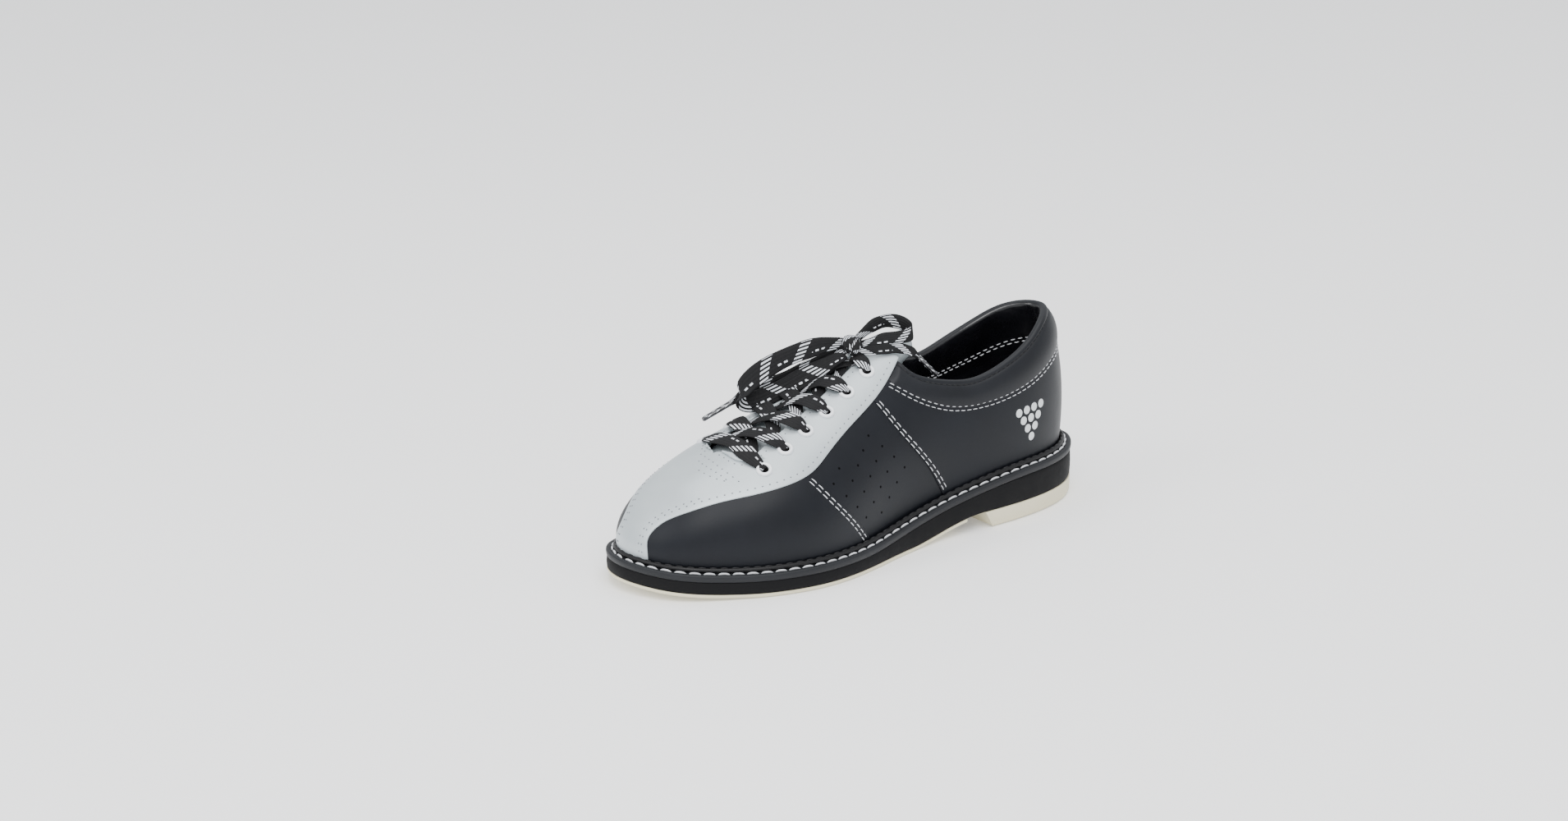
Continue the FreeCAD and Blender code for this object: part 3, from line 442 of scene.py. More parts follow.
    def above_line(self, plan: Sequence[tuple[float, float]]) -> Curve:
        """A smooth line of places over plan points."""
        marks = np.linspace(0, 1, len(plan))
        east, north = (natural_cubic(marks, [p[k] for p in plan]) for k in (0, 1))
        return lambda share: self.above(east(share), north(share))

    def metres(self, points: Array) -> Array:
        """Points of the pattern in the shoe's frame, in metres."""
        return (np.asarray(points, float) + np.array([self.ridge_x, 0.0, 0.0])) * MM


LAST = Last()


# ---------------------------------------------------------------- seams of the pattern


@dataclass
class Pattern:
    """The seam lines and the lace rows on the last."""

    front: float = 0.041
    stripe: SeamLine = field(default_factory=lambda: SeamLine([
        (0.041, 0.0), (0.041, 0.20), (0.050, 0.42), (0.088, 0.498), (0.145, 0.515), (0.206, 0.503),
        (0.262, 0.488), (0.321, 0.487), (0.375, 0.536), (0.440, 0.588), (0.508, 0.620),
        (0.539, 0.652), (0.581, 0.735)]))
    front_seam: SeamLine = field(default_factory=lambda: SeamLine([
        (0.436, 0.0), (0.389, 0.168), (0.354, 0.307), (0.321, 0.487)]))
    rear_seam: SeamLine = field(default_factory=lambda: SeamLine([
        (0.640, 0.0), (0.605, 0.144), (0.570, 0.272), (0.533, 0.432), (0.508, 0.620)]))
    collar_seam: tuple = ((0.539, 0.652), (0.580, 0.490), (0.626, 0.384), (0.666, 0.330),
                          (0.744, 0.287), (0.835, 0.293), (0.904, 0.325), (1.0, 0.345))
    topline: tuple = ((0.581, 0.735), (0.601, 0.587), (0.666, 0.459), (0.715, 0.417),
                      (0.779, 0.418), (0.850, 0.449), (0.910, 0.485), (1.0, 0.495))
    corner: int = 2
    cross: int = 5
    front_seam_top: int = 7
    rear_seam_top: int = 10
    collar_front: int = 11
    end: int = 12
    ridge_cross: tuple = (0.105, 1.0)
    row_front: float = -78.0 * 290.0 / 290.4
    row_step: float = 15.7
    eyelets: int = 6
    reach_front: float = 24.4
    reach_rear: float = 12.2
    edge_front: float = 9.5
    edge_rear: float = 7.5
    centre_front: float = 4.0
    throat_front: float = -87.0
    facing_top: float = 13.0

    def row_share(self, y: Array) -> Array:
        """Share of the way along the eyelet row."""
        return (y - self.row_front) / ((self.eyelets - 1) * self.row_step)

    def centre(self, y: Array) -> Array:
        """The lace line's x."""
        return self.centre_front * np.clip(1 - self.row_share(y), 0, 1)

    def reach(self, y: Array) -> Array:
        """Distance of the eyelet rows from the lace line."""
        share = self.row_share(y)
        return self.reach_front * (1 - share) + self.reach_rear * share

    def throat(self, y: Array) -> Array:
        """Distance of the facing edges from the lace line."""
        share = self.row_share(y)
        return self.reach(y) - (self.edge_front * (1 - share) + self.edge_rear * share)

    def eyelet(self, side: Side, number: int) -> tuple[float, float]:
        """Plan position of an eyelet, number 0 at the throat."""
        y = self.row_front + number * self.row_step
        return float(self.centre(y) + side.value * self.reach(y)), y

    def throat_edge(self, side: Side) -> SeamLine:
        """The facing's inner edge, from the ridge round the throat to the top."""
        front = self.throat_front * LAST.scale
        turn = self.row_front - 2 * LAST.scale
        stations = [turn + (self.facing_top * LAST.scale - turn) * i / 6 for i in range(7)]
        plan = [(0.02 * side.value, front - 3),
                (side.value * 0.55 * float(self.throat(turn)), front + 1.5)]
        plan += [(float(self.centre(y) + side.value * self.throat(y)), y) for y in stations]
        places = LAST.above(np.array([p[0] for p in plan]), np.array([p[1] for p in plan]))
        cross = (side.value * self.ridge_cross[0], self.ridge_cross[1])
        return SeamLine([cross] + [tuple(p) for p in places])

    @staticmethod
    def both_ways(places: Sequence[tuple[float, float]]) -> Curve:
        """A line on the outer side continued over the heel onto the inner side."""
        back = [(2 - run, rise) for run, rise in reversed(places[:-1])]
        return SeamLine(list(places) + back).whole()


PATTERN = Pattern()


# ---------------------------------------------------------------- meshes


def grid_faces(columns: int, rows: int, start: int = 0, wrap: bool = False) -> Array:
    """Quads of a grid of columns by rows vertices.

    Args:
        columns: Vertices along the first axis.
        rows: Vertices along the second axis.
        start: Index of the first vertex.
        wrap: True if the second axis closes on itself.

    Returns:
        One row of four vertex numbers per face.
    """
    i, j = np.meshgrid(np.arange(columns - 1), np.arange(rows if wrap else rows - 1), indexing="ij")
    k = (j + 1) % rows
    quads = np.stack([i * rows + j, (i + 1) * rows + j, (i + 1) * rows + k, i * rows + k], -1)
    return quads.reshape(-1, 4) + start


def new_object(name: str, points: Array, faces: Sequence[Sequence[int]],
               uvs: Array | None = None) -> bpy.types.Object:
    """A smooth mesh object from points in pattern millimetres.

    Args:
        name: The piece's name.
        points: Vertices.
        faces: Vertex numbers of each face.
        uvs: Optional texture place of each vertex.

    Returns:
        The linked object.
    """
    mesh = bpy.data.meshes.new(name)
    faces = [list(map(int, f)) for f in faces]
    mesh.from_pydata([tuple(p) for p in LAST.metres(points)], [], faces)
    mesh.polygons.foreach_set("use_smooth", np.ones(len(mesh.polygons), bool))
    if uvs is not None:
        layer = mesh.uv_layers.new(name="run")
        index = np.zeros(len(mesh.loops), np.int64)
        mesh.loops.foreach_get("vertex_index", index)
        layer.data.foreach_set("uv", np.asarray(uvs, float)[index].ravel())
    mesh.update()
    thing = bpy.data.objects.new(name, mesh)
    bpy.context.scene.collection.objects.link(thing)
    return thing


def sharpen(thing: bpy.types.Object, degrees: float = 38.0) -> None:
    """Marks edges sharper than an angle, so that smooth shading breaks there."""
    bm = bmesh.new()
    bm.from_mesh(thing.data)
    limit = math.radians(degrees)
    for edge in bm.edges:
        if len(edge.link_faces) == 2 and edge.calc_face_angle(0.0) > limit:
            edge.smooth = False
    bm.to_mesh(thing.data)
    bm.free()


def merged(thing: bpy.types.Object, reach: float = 0.02) -> None:
    """Joins an object's vertices that lie together and turns its faces outward."""
    bm = bmesh.new()
    bm.from_mesh(thing.data)
    bmesh.ops.remove_doubles(bm, verts=bm.verts, dist=reach * MM)
    bmesh.ops.dissolve_degenerate(bm, edges=bm.edges, dist=reach * MM * 0.5)
    bmesh.ops.recalc_face_normals(bm, faces=bm.faces)
    bm.to_mesh(thing.data)
    bm.free()
    thing.data.update()


@dataclass
class Leather:
    """Cuts panels of an even thickness with soft rounded edges."""

    thickness: float = 1.3
    edge_radius: float = 0.45
    spacing: float = 1.7

    def grid(self, patch: Patch, columns: int, rows: int,
             lift: float | Callable[[Array, Array], Array] = 0.0) -> Array:
        """Points of a patch at a lift, as a (columns, rows, 3) array."""
        a, b = np.meshgrid(np.linspace(0, 1, columns), np.linspace(0, 1, rows), indexing="ij")
        return LAST.points(patch(a, b), lift(a, b) if callable(lift) else lift)

    def cut(self, name: str, grids: Sequence[Array]) -> bpy.types.Object:
        """A closed panel from grids that share edges.

        Args:
            name: The piece's name.
            grids: (columns, rows, 3) arrays whose faces look outward.

        Returns:
            The panel, with its edge rounded off and a back face.
        """
        points, faces, start = [], [], 0
        for grid in grids:
            columns, rows = grid.shape[:2]
            points.append(grid.reshape(-1, 3))
            faces.append(grid_faces(columns, rows, start))
            start += columns * rows
        thing = new_object(name, np.concatenate(points), np.concatenate(faces))
        bm = bmesh.new()
        bm.from_mesh(thing.data)
        bmesh.ops.remove_doubles(bm, verts=bm.verts, dist=0.03 * MM)
        bm.normal_update()
        self.close(bm)
        bm.normal_update()
        for face in bm.faces:
            face.smooth = True
        bm.to_mesh(thing.data)
        bm.free()
        thing.data.update()
        return thing

    def close(self, bm: bmesh.types.BMesh) -> None:
        """Gives an open sheet its rounded edge and its back."""
        faces = list(bm.faces)
        verts = list(bm.verts)
        normal = {v: v.normal.copy() for v in verts}
        out = {}
        rim = []
        for edge in bm.edges:
            if not edge.is_boundary:
                continue
            loop = edge.link_loops[0]
            tail, head = loop.vert, loop.link_loop_next.vert
            rim.append((tail, head))
            run = (head.co - tail.co).normalized()
            for v in (tail, head):
                out[v] = out.get(v, Vector()) + run.cross(normal[v])
        back = {v: bm.verts.new(v.co - normal[v] * self.thickness * MM) for v in verts}
        for face in faces:
            bm.faces.new([back[v] for v in reversed(face.verts)])
        steps = [(self.edge_radius * math.sin(t), self.edge_radius * (1 - math.cos(t)))
                 for t in (0.45, 0.95, 1.45)]
        chain = {}
        for v, direction in out.items():
            direction = direction.normalized()
            ring = [bm.verts.new(v.co + direction * a * MM - normal[v] * b * MM) for a, b in steps]
            ring.append(bm.verts.new(v.co + direction * self.edge_radius * 0.7 * MM
                                     - normal[v] * self.thickness * 0.95 * MM))
            chain[v] = [v] + ring + [back[v]]
        for tail, head in rim:
            for i in range(len(chain[tail]) - 1):
                bm.faces.new([chain[head][i], chain[tail][i], chain[tail][i + 1], chain[head][i + 1]])


def sweep(name: str, centre: Array, across: Array, up: Array, half: Array, thick: Array,
          section: int = 14, square: float = 2.6, phase: float = 0.0) -> bpy.types.Object:
    """A flat strap or band along a line, closed at both ends.

    Args:
        name: The piece's name.
        centre: Points of the line.
        across: Unit vectors across the strap.
        up: Unit vectors out of its face.
        half: Half width at each point.
        thick: Half thickness at each point.
        section: Vertices round the section.
        square: How square the section is; 2 is an ellipse.
        phase: Distance that the braid has run before the start, in mm.

    Returns:
        The strap; its u runs along it in mm and its v across it from -1 to 1.
    """
    angle = np.arange(section) * 2 * np.pi / section
    c, s = np.cos(angle), np.sin(angle)
    wide = np.sign(c) * np.abs(c) ** (2 / square)
    high = np.sign(s) * np.abs(s) ** (2 / square)
    rings = (centre[:, None] + across[:, None] * (half[:, None] * wide)[..., None]
             + up[:, None] * (thick[:, None] * high)[..., None])
    count = len(centre)
    faces = [list(f[::-1]) for f in grid_faces(count, section, wrap=True)]
    run = np.concatenate([[0.0], np.cumsum(np.linalg.norm(np.diff(centre, axis=0), axis=1))])
    run = run + phase
    uvs = np.stack(np.broadcast_arrays(run[:, None], wide[None]), -1).reshape(-1, 2)
    points = np.concatenate([rings.reshape(-1, 3), centre[:1], centre[-1:]])
    first, last = count * section, count * section + 1
    for j in range(section):
        k = (j + 1) % section
        faces.append([first, k, j])
        faces.append([last, (count - 1) * section + j, (count - 1) * section + k])
    uvs = np.concatenate([uvs, [[0.0, 0.0]], [[run[-1], 0.0]]])
    thing = new_object(name, points, faces, uvs)
    merged(thing, 0.001)
    return thing


def spaced(points: Array, pitch: float, margin: float = 0.6) -> Array:
    """Distances of stitches along a line, evenly spread at about a pitch."""
    length = float(np.linalg.norm(np.diff(points, axis=0), axis=1).sum())
    count = max(1, int(round((length - 2 * margin) / pitch)))
    return margin + (length - 2 * margin) * (np.arange(count) + 0.5) / count


def along_line(points: Array, values: Array, distance: Array) -> Array:
    """Values carried by a line's points, read at distances along it."""
    marks = np.concatenate([[0.0], np.cumsum(np.linalg.norm(np.diff(points, axis=0), axis=1))])
    return np.stack([np.interp(distance, marks, values[:, k]) for k in range(3)], -1)


@dataclass
class Thread:
    """Stitches of one row of sewing."""

    pitch: float = 4.7
    length: float = 3.85
    width: float = 0.5
    height: float = 0.32
    slant: float = 0.0
    stations: int = 7
    section: int = 8

    def sew(self, name: str, rows: Sequence[tuple[Array, Array]]) -> bpy.types.Object:
        """One object with the stitches of several rows.

        Args:
            name: The piece's name.
            rows: (points, normals) of each row's line on the surface.

        Returns:
            The stitches as rounded dashes that dip in at both ends.
        """
        everything, faces, start = [], [], 0
        t = np.linspace(0, 1, self.stations)
        round_off = np.sqrt(np.clip(1 - np.abs(2 * t - 1) ** 3.2, 0.02, 1))
        arch = 1 - np.abs(2 * t - 1) ** 2.5
        angle = np.arange(self.section) * 2 * np.pi / self.section
        for points, normals in rows:
            middle = spaced(points, self.pitch)
            distance = middle[:, None] + (t[None] - 0.5) * self.length
            centre = along_line(points, points, distance)
            out = along_line(points, normals, distance)
            out /= np.linalg.norm(out, axis=-1, keepdims=True)
            run = np.gradient(centre, axis=1)
            side = np.cross(run, out)
            side /= np.linalg.norm(side, axis=-1, keepdims=True)
            centre = centre + side * ((t - 0.5) * self.slant)[None, :, None]
            centre = centre + out * ((arch - 0.55) * self.height)[None, :, None]
            ring = (centre[:, :, None]
                    + side[:, :, None] * (np.cos(angle)[None, None] * round_off[None, :, None]
                                          * self.width / 2)[..., None]
                    + out[:, :, None] * (np.sin(angle)[None, None] * round_off[None, :, None]
                                         * self.height)[..., None])
            count = len(middle)
            ends = centre[:, [0, -1]]
            block = np.concatenate([ring.reshape(count, -1, 3), ends], axis=1)
            size = self.stations * self.section
            one = [list(f) for f in grid_faces(self.stations, self.section, wrap=True)]
            for j in range(self.section):
                k = (j + 1) % self.section
                one.append([size, k, j])
                one.append([size + 1, size - self.section + j, size - self.section + k])
            for i in range(count):
                faces += [[v + start + i * (size + 2) for v in f] for f in one]
            everything.append(block.reshape(-1, 3))
            start += count * (size + 2)
        thing = new_object(name, np.concatenate(everything), faces)
        bm = bmesh.new()
        bm.from_mesh(thing.data)
        bmesh.ops.recalc_face_normals(bm, faces=bm.faces)
        bm.to_mesh(thing.data)
        bm.free()
        return thing


def surface_row(line: Curve, start: float = 0.0, end: float = 1.0, lift: float = 0.0,
                samples: int = 220) -> tuple[Array, Array]:
    """Points and normals of a line on the last, for a row of sewing."""
    places = line(np.linspace(start, end, samples))
    return LAST.points(places, lift), LAST.normals(places)


def discs(name: str, centres: Array, normals: Array, radius: float, height: float,
          dish: float = 0.0, sides: int = 14) -> bpy.types.Object:
    """Small round spots lying on a surface.

    Args:
        name: The piece's name.
        centres: Middle of each spot.
        normals: Outward direction at each.
        radius: Radius of a spot.
        height: How far its face stands above the centre point.
        dish: How far its middle is sunk below its rim.
        sides: Corners round it.

    Returns:
        One object with all the spots.
    """
    help_axis = np.array([0.0, 0.0, 1.0])
    first = np.cross(normals, help_axis)
    first /= np.linalg.norm(first, axis=-1, keepdims=True)
    second = np.cross(normals, first)
    angle = np.arange(sides) * 2 * np.pi / sides
    rings = []
    for reach, level in ((1.0, -0.25), (1.0, height * 0.6), (0.86, height), (0.5, height - dish * 0.8)):
        rings.append(centres[:, None] + normals[:, None] * level
                     + first[:, None] * (np.cos(angle) * radius * reach)[None, :, None]
                     + second[:, None] * (np.sin(angle) * radius * reach)[None, :, None])
    top = centres + normals * (height - dish)
    foot = centres - normals * 0.25
    block = np.concatenate(rings + [top[:, None], foot[:, None]], axis=1)
    size = 4 * sides
    one = [list(f) for f in grid_faces(4, sides, wrap=True)]
    one += [[size, size - sides + j, size - sides + (j + 1) % sides] for j in range(sides)]
    one += [[size + 1, (j + 1) % sides, j] for j in range(sides)]
    faces = [[v + i * (size + 2) for v in f] for i in range(len(centres)) for f in one]
    thing = new_object(name, block.reshape(-1, 3), faces)
    bm = bmesh.new()
    bm.from_mesh(thing.data)
    bmesh.ops.recalc_face_normals(bm, faces=bm.faces)
    bm.to_mesh(thing.data)
    bm.free()
    return thing


# ---------------------------------------------------------------- finishes


class Graph:
    """A short way to write shader nodes."""

    def __init__(self, tree: bpy.types.NodeTree) -> None:
        """Args: tree: the node tree to write into."""
        self.tree = tree

    def node(self, kind: str, settings: dict | None = None, **inputs) -> bpy.types.Node:
        """Adds a node, with its settings and its inputs, given by name with _ for a space."""
        made = self.tree.nodes.new(kind)
        for key, value in (settings or {}).items():
            setattr(made, key, value)
        for key, value in inputs.items():
            self.feed(made.inputs[key.replace("_", " ")], value)
        return made

    def feed(self, socket: bpy.types.NodeSocket, value) -> None:
        """Links or sets a socket."""
        if isinstance(value, bpy.types.NodeSocket):
            self.tree.links.new(value, socket)
        else:
            socket.default_value = value

    def math(self, operation: str, *values) -> bpy.types.NodeSocket:
        """The result of a math node."""
        made = self.tree.nodes.new("ShaderNodeMath")
        made.operation = operation
        for socket, value in zip(made.inputs, values):
            self.feed(socket, value)
        return made.outputs[0]

    def mix(self, factor, first, second) -> bpy.types.NodeSocket:
        """A colour mix."""
        made = self.tree.nodes.new("ShaderNodeMix")
        made.data_type = "RGBA"
        self.feed(made.inputs[0], factor)
        self.feed(made.inputs[6], first)
        self.feed(made.inputs[7], second)
        return made.outputs[2]

    def span(self, value, low: float, high: float, to_low: float, to_high: float):
        """A value mapped from one range to another, held within it."""
        made = self.node("ShaderNodeMapRange")
        for key, item in zip(range(5), (value, low, high, to_low, to_high)):
            self.feed(made.inputs[key], item)
        return made.outputs[0]


class Effect(Enum):
    """Shared surface effects, each a node group made once."""

    GRAIN = "hide_grain"
    MOTTLE = "soft_mottle"
    BRAID = "flat_braid"

    def group(self) -> bpy.types.NodeTree:
        """The effect's node group, made on first use."""
        if self.value in bpy.data.node_groups:
            return bpy.data.node_groups[self.value]
        tree = bpy.data.node_groups.new(self.value, "ShaderNodeTree")
        {Effect.GRAIN: self.make_grain, Effect.MOTTLE: self.make_mottle,
         Effect.BRAID: self.make_braid}[self](tree)
        return tree

    @staticmethod
    def sockets(tree: bpy.types.NodeTree, ins: Sequence[tuple[str, str, object]],
                outs: Sequence[tuple[str, str]]) -> tuple[bpy.types.Node, bpy.types.Node]:
        """Adds a group's sockets and its input and output nodes."""
        for name, kind, value in ins:
            socket = tree.interface.new_socket(name, in_out="INPUT", socket_type=kind)
            if value is not None:
                socket.default_value = value
        for name, kind in outs:
            tree.interface.new_socket(name, in_out="OUTPUT", socket_type=kind)
        return tree.nodes.new("NodeGroupInput"), tree.nodes.new("NodeGroupOutput")

    @classmethod
    def make_grain(cls, tree: bpy.types.NodeTree) -> None:
        """Fine pebbled grain with faint creases."""
        start, end = cls.sockets(tree, [("Vector", "NodeSocketVector", None),
                                        ("Cells", "NodeSocketFloat", 900.0),
                                        ("Creases", "NodeSocketFloat", 0.4)],
                                 [("Height", "NodeSocketFloat"), ("Mask", "NodeSocketFloat")])
        g = Graph(tree)
        place, cells = start.outputs["Vector"], start.outputs["Cells"]
        wobble = g.node("ShaderNodeTexNoise", Vector=place, Scale=g.math("MULTIPLY", cells, 0.35),
                        Detail=3.0)
        pebble = g.node("ShaderNodeTexVoronoi", {"feature": "SMOOTH_F1"}, Vector=place, Scale=cells,
                        Smoothness=0.6)
        crease = g.node("ShaderNodeTexNoise", Vector=place, Scale=g.math("MULTIPLY", cells, 0.06),
                        Detail=6.0, Distortion=0.7)
        soft = g.math("MULTIPLY", g.span(crease.outputs["Fac"], 0.42, 0.5, 0.0, 1.0),
                      start.outputs["Creases"])
        height = g.math("ADD", g.math("MULTIPLY", pebble.outputs["Distance"], -0.7),
                        g.math("ADD", g.math("MULTIPLY", wobble.outputs["Fac"], 0.6), soft))
        g.feed(end.inputs["Height"], height)
        g.feed(end.inputs["Mask"], g.span(wobble.outputs["Fac"], 0.35, 0.65, 0.0, 1.0))

    @classmethod
    def make_mottle(cls, tree: bpy.types.NodeTree) -> None:
        """Slow, soft unevenness of colour and gloss."""
        start, end = cls.sockets(tree, [("Vector", "NodeSocketVector", None),
                                        ("Scale", "NodeSocketFloat", 40.0),
                                        ("Light", "NodeSocketColor", (1, 1, 1, 1)),
                                        ("Dark", "NodeSocketColor", (0, 0, 0, 1)),
                                        ("Smooth", "NodeSocketFloat", 0.4),
                                        ("Rough", "NodeSocketFloat", 0.5)],
                                 [("Color", "NodeSocketColor"), ("Roughness", "NodeSocketFloat")])
        g = Graph(tree)
        patches = g.node("ShaderNodeTexNoise", Vector=start.outputs["Vector"],
                         Scale=start.outputs["Scale"], Detail=4.0, Roughness=0.6)
        share = g.span(patches.outputs["Fac"], 0.3, 0.7, 0.0, 1.0)
        g.feed(end.inputs["Color"], g.mix(share, start.outputs["Dark"], start.outputs["Light"]))
        spread = g.math("SUBTRACT", start.outputs["Rough"], start.outputs["Smooth"])
        g.feed(end.inputs["Roughness"], g.math("ADD", start.outputs["Smooth"],
                                               g.math("MULTIPLY", spread, share)))

    @classmethod
    def make_braid(cls, tree: bpy.types.NodeTree) -> None:
        """Flat braid: fine ribs, slanted stacks of light dashes and single rows of short ones."""
        start, end = cls.sockets(tree, [("Run", "NodeSocketFloat", 0.0), ("Across", "NodeSocketFloat", 0.0),
                                        ("Repeat", "NodeSocketFloat", 21.0),
                                        ("Lanes", "NodeSocketFloat", 2.8)],
                                 [("Fleck", "NodeSocketFloat"), ("Height", "NodeSocketFloat")])
        g = Graph(tree)
        run, across = start.outputs["Run"], start.outputs["Across"]
        lane = g.math("FRACT", g.math("MULTIPLY", g.math("ADD", across, 1.0), start.outputs["Lanes"]))
        dash = g.math("MULTIPLY", g.math("GREATER_THAN", lane, 0.26), g.math("LESS_THAN", lane, 0.74))
        slanted = g.math("ADD", run, g.math("MULTIPLY", across, 4.4))
        place = g.math("FRACT", g.math("DIVIDE", slanted, start.outputs["Repeat"]))
        inside = g.math("LESS_THAN", g.math("ABSOLUTE", across), 0.93)
        stack = g.math("MULTIPLY", g.math("MULTIPLY", dash, inside), g.math("LESS_THAN", place, 0.27))
        row = g.math("LESS_THAN", g.math("ABSOLUTE", g.math("ADD", across, 0.35)), 0.10)
        short = g.math("LESS_THAN", g.math("FRACT", g.math("DIVIDE", run, 3.6)), 0.55)
        gate = g.math("LESS_THAN", g.math("ABSOLUTE", g.math("SUBTRACT", place, 0.62)), 0.17)
        single = g.math("MULTIPLY", g.math("MULTIPLY", row, short), gate)
        g.feed(end.inputs["Fleck"], g.math("MAXIMUM", stack, single))
        ribs = g.math("ABSOLUTE", g.math("SINE", g.math("MULTIPLY", g.math(
            "MULTIPLY", g.math("ADD", across, 1.0), start.outputs["Lanes"]), math.pi)))
        picks = g.math("ABSOLUTE", g.math("SINE", g.math("MULTIPLY", slanted, 3.1)))
        g.feed(end.inputs["Height"], g.math("ADD", g.math("MULTIPLY", ribs, 0.7),
                                            g.math("MULTIPLY", picks, 0.5)))


@dataclass(frozen=True)
class Finish:
    """A material: two close colours, a gloss range and a grain."""

    name: str
    light: Colour
    dark: Colour
    smooth: float = 0.4
    rough: float = 0.5
    patches: float = 40.0
    grain: float = 1000.0
    relief: float = 0.04
    creases: float = 0.3
    metallic: float = 0.0
    specular: float = 0.5
    coat: float = 0.0
    coat_roughness: float = 0.3
    sheen: float = 0.0
    transmission: float = 0.0

    def begin(self) -> tuple[bpy.types.Material, Graph, bpy.types.Node]:
        """A new material, its graph and its shader with the constants set."""
        material = bpy.data.materials.new(self.name)
        material.use_nodes = True
        tree = material.node_tree
        tree.nodes.clear()
        g = Graph(tree)
        shader = g.node("ShaderNodeBsdfPrincipled")
        out = g.node("ShaderNodeOutputMaterial")
        tree.links.new(shader.outputs[0], out.inputs[0])
        for key, value in (("Metallic", self.metallic), ("Specular IOR Level", self.specular),
                           ("Coat Weight", self.coat), ("Coat Roughness", self.coat_roughness),
                           ("Sheen Weight", self.sheen), ("Transmission Weight", self.transmission)):
            shader.inputs[key].default_value = value
        return material, g, shader

    def effect(self, g: Graph, effect: Effect, **inputs) -> bpy.types.Node:
        """Places a shared effect in the material."""
        made = g.node("ShaderNodeGroup", {"node_tree": effect.group()})
        for key, value in inputs.items():
            g.feed(made.inputs[key], value)
        return made

    def material(self) -> bpy.types.Material:
        """The finish's material, made on first use."""
        if self.name in bpy.data.materials:
            return bpy.data.materials[self.name]
        material, g, shader = self.begin()
        place = g.node("ShaderNodeTexCoord").outputs["Object"]
        mottle = self.effect(g, Effect.MOTTLE, Vector=place, Scale=self.patches,
                             Light=(*self.light, 1), Dark=(*self.dark, 1),
                             Smooth=self.smooth, Rough=self.rough)
        grain = self.effect(g, Effect.GRAIN, Vector=place, Cells=self.grain, Creases=self.creases)
        g.feed(shader.inputs["Base Color"], self.tint(g, mottle.outputs["Color"], grain, place))
        g.feed(shader.inputs["Roughness"], mottle.outputs["Roughness"])
        bump = g.node("ShaderNodeBump", Height=grain.outputs["Height"], Strength=0.6,
                      Distance=self.relief * MM)
        g.feed(shader.inputs["Normal"], bump.outputs[0])
        return material

    def tint(self, g: Graph, colour, grain: bpy.types.Node, place):
        """The colour that goes to the shader."""
        return colour

    def dress(self, thing: bpy.types.Object) -> None:
        """Puts the finish on an object as its only material."""
        thing.data.materials.clear()
        thing.data.materials.append(self.material())


@dataclass(frozen=True)
class BraidFinish(Finish):
    """The lace: a black braid with light flecks."""

    fleck: Colour = (0.70, 0.72, 0.76)
    repeat: float = 21.0
    lanes: float = 2.8

    def material(self) -> bpy.types.Material:
        """The lace's material, made on first use."""
        if self.name in bpy.data.materials:
            return bpy.data.materials[self.name]
        material, g, shader = self.begin()
        run = g.node("ShaderNodeSeparateXYZ", Vector=g.node("ShaderNodeTexCoord").outputs["UV"])
        braid = self.effect(g, Effect.BRAID, Run=run.outputs[0], Across=run.outputs[1],
                            Repeat=self.repeat, Lanes=self.lanes)
        place = g.node("ShaderNodeTexCoord").outputs["Object"]
        mottle = self.effect(g, Effect.MOTTLE, Vector=place, Scale=self.patches,
                             Light=(*self.light, 1), Dark=(*self.dark, 1),
                             Smooth=self.smooth, Rough=self.rough)
        g.feed(shader.inputs["Base Color"], g.mix(braid.outputs["Fleck"], mottle.outputs["Color"],
                                                  (*self.fleck, 1)))
        g.feed(shader.inputs["Roughness"], mottle.outputs["Roughness"])
        bump = g.node("ShaderNodeBump", Height=braid.outputs["Height"], Strength=0.8,
                      Distance=self.relief * MM)
        g.feed(shader.inputs["Normal"], bump.outputs[0])
        return material


@dataclass(frozen=True)
class FloorFinish(Finish):
    """The pale floor, lit a little from within so that it stays light."""

    glow: float = 0.22

    def begin(self) -> tuple[bpy.types.Material, Graph, bpy.types.Node]:
        """A new material, its graph and its shader with the constants set."""
        material, g, shader = super().begin()
        shader.inputs["Emission Color"].default_value = (1.0, 1.0, 1.0, 1.0)
        shader.inputs["Emission Strength"].default_value = self.glow
        return material, g, shader


BLACK_LEATHER = Finish("black_smooth_leather", (0.0080, 0.0092, 0.0125), (0.0058, 0.0066, 0.0090),
                       smooth=0.38, rough=0.48, patches=28, grain=1500, relief=0.03, creases=0.2,
                       specular=0.19)
COLLAR_LEATHER = Finish("black_collar_leather", (0.0105, 0.0115, 0.0145), (0.0075, 0.0083, 0.0105),
                        smooth=0.38, rough=0.5, patches=35, grain=1300, relief=0.04, creases=0.4,
                        specular=0.21)
LINING = Finish("black_gloss_lining", (0.006, 0.006, 0.008), (0.003, 0.003, 0.004), smooth=0.18,
                rough=0.36, patches=55, grain=700, relief=0.10, creases=1.6, specular=0.45,
                coat=0.2, coat_roughness=0.15)
SILVER = Finish("pearl_silver_leather", (0.52, 0.57, 0.59), (0.45, 0.50, 0.52), smooth=0.34,
                rough=0.44, patches=30, grain=1400, relief=0.035, creases=0.3, metallic=0.30,
                coat=0.10, coat_roughness=0.3)
TONGUE_LINING = Finish("tongue_back_lining", (0.020, 0.020, 0.023), (0.012, 0.012, 0.014),
                       smooth=0.4, rough=0.55, patches=60, grain=1200, relief=0.08)
CREAM = Finish("cream_sole_rubber", (0.74, 0.69, 0.50), (0.70, 0.645, 0.455), smooth=0.5, rough=0.62,
               patches=45, grain=2200, relief=0.03, creases=0.1)
EVA = Finish("black_moulded_foam", (0.0050, 0.0050, 0.0058), (0.0025, 0.0025, 0.0030), smooth=0.66,
             rough=0.82, patches=90, grain=1600, relief=0.09, creases=0.5, specular=0.18)
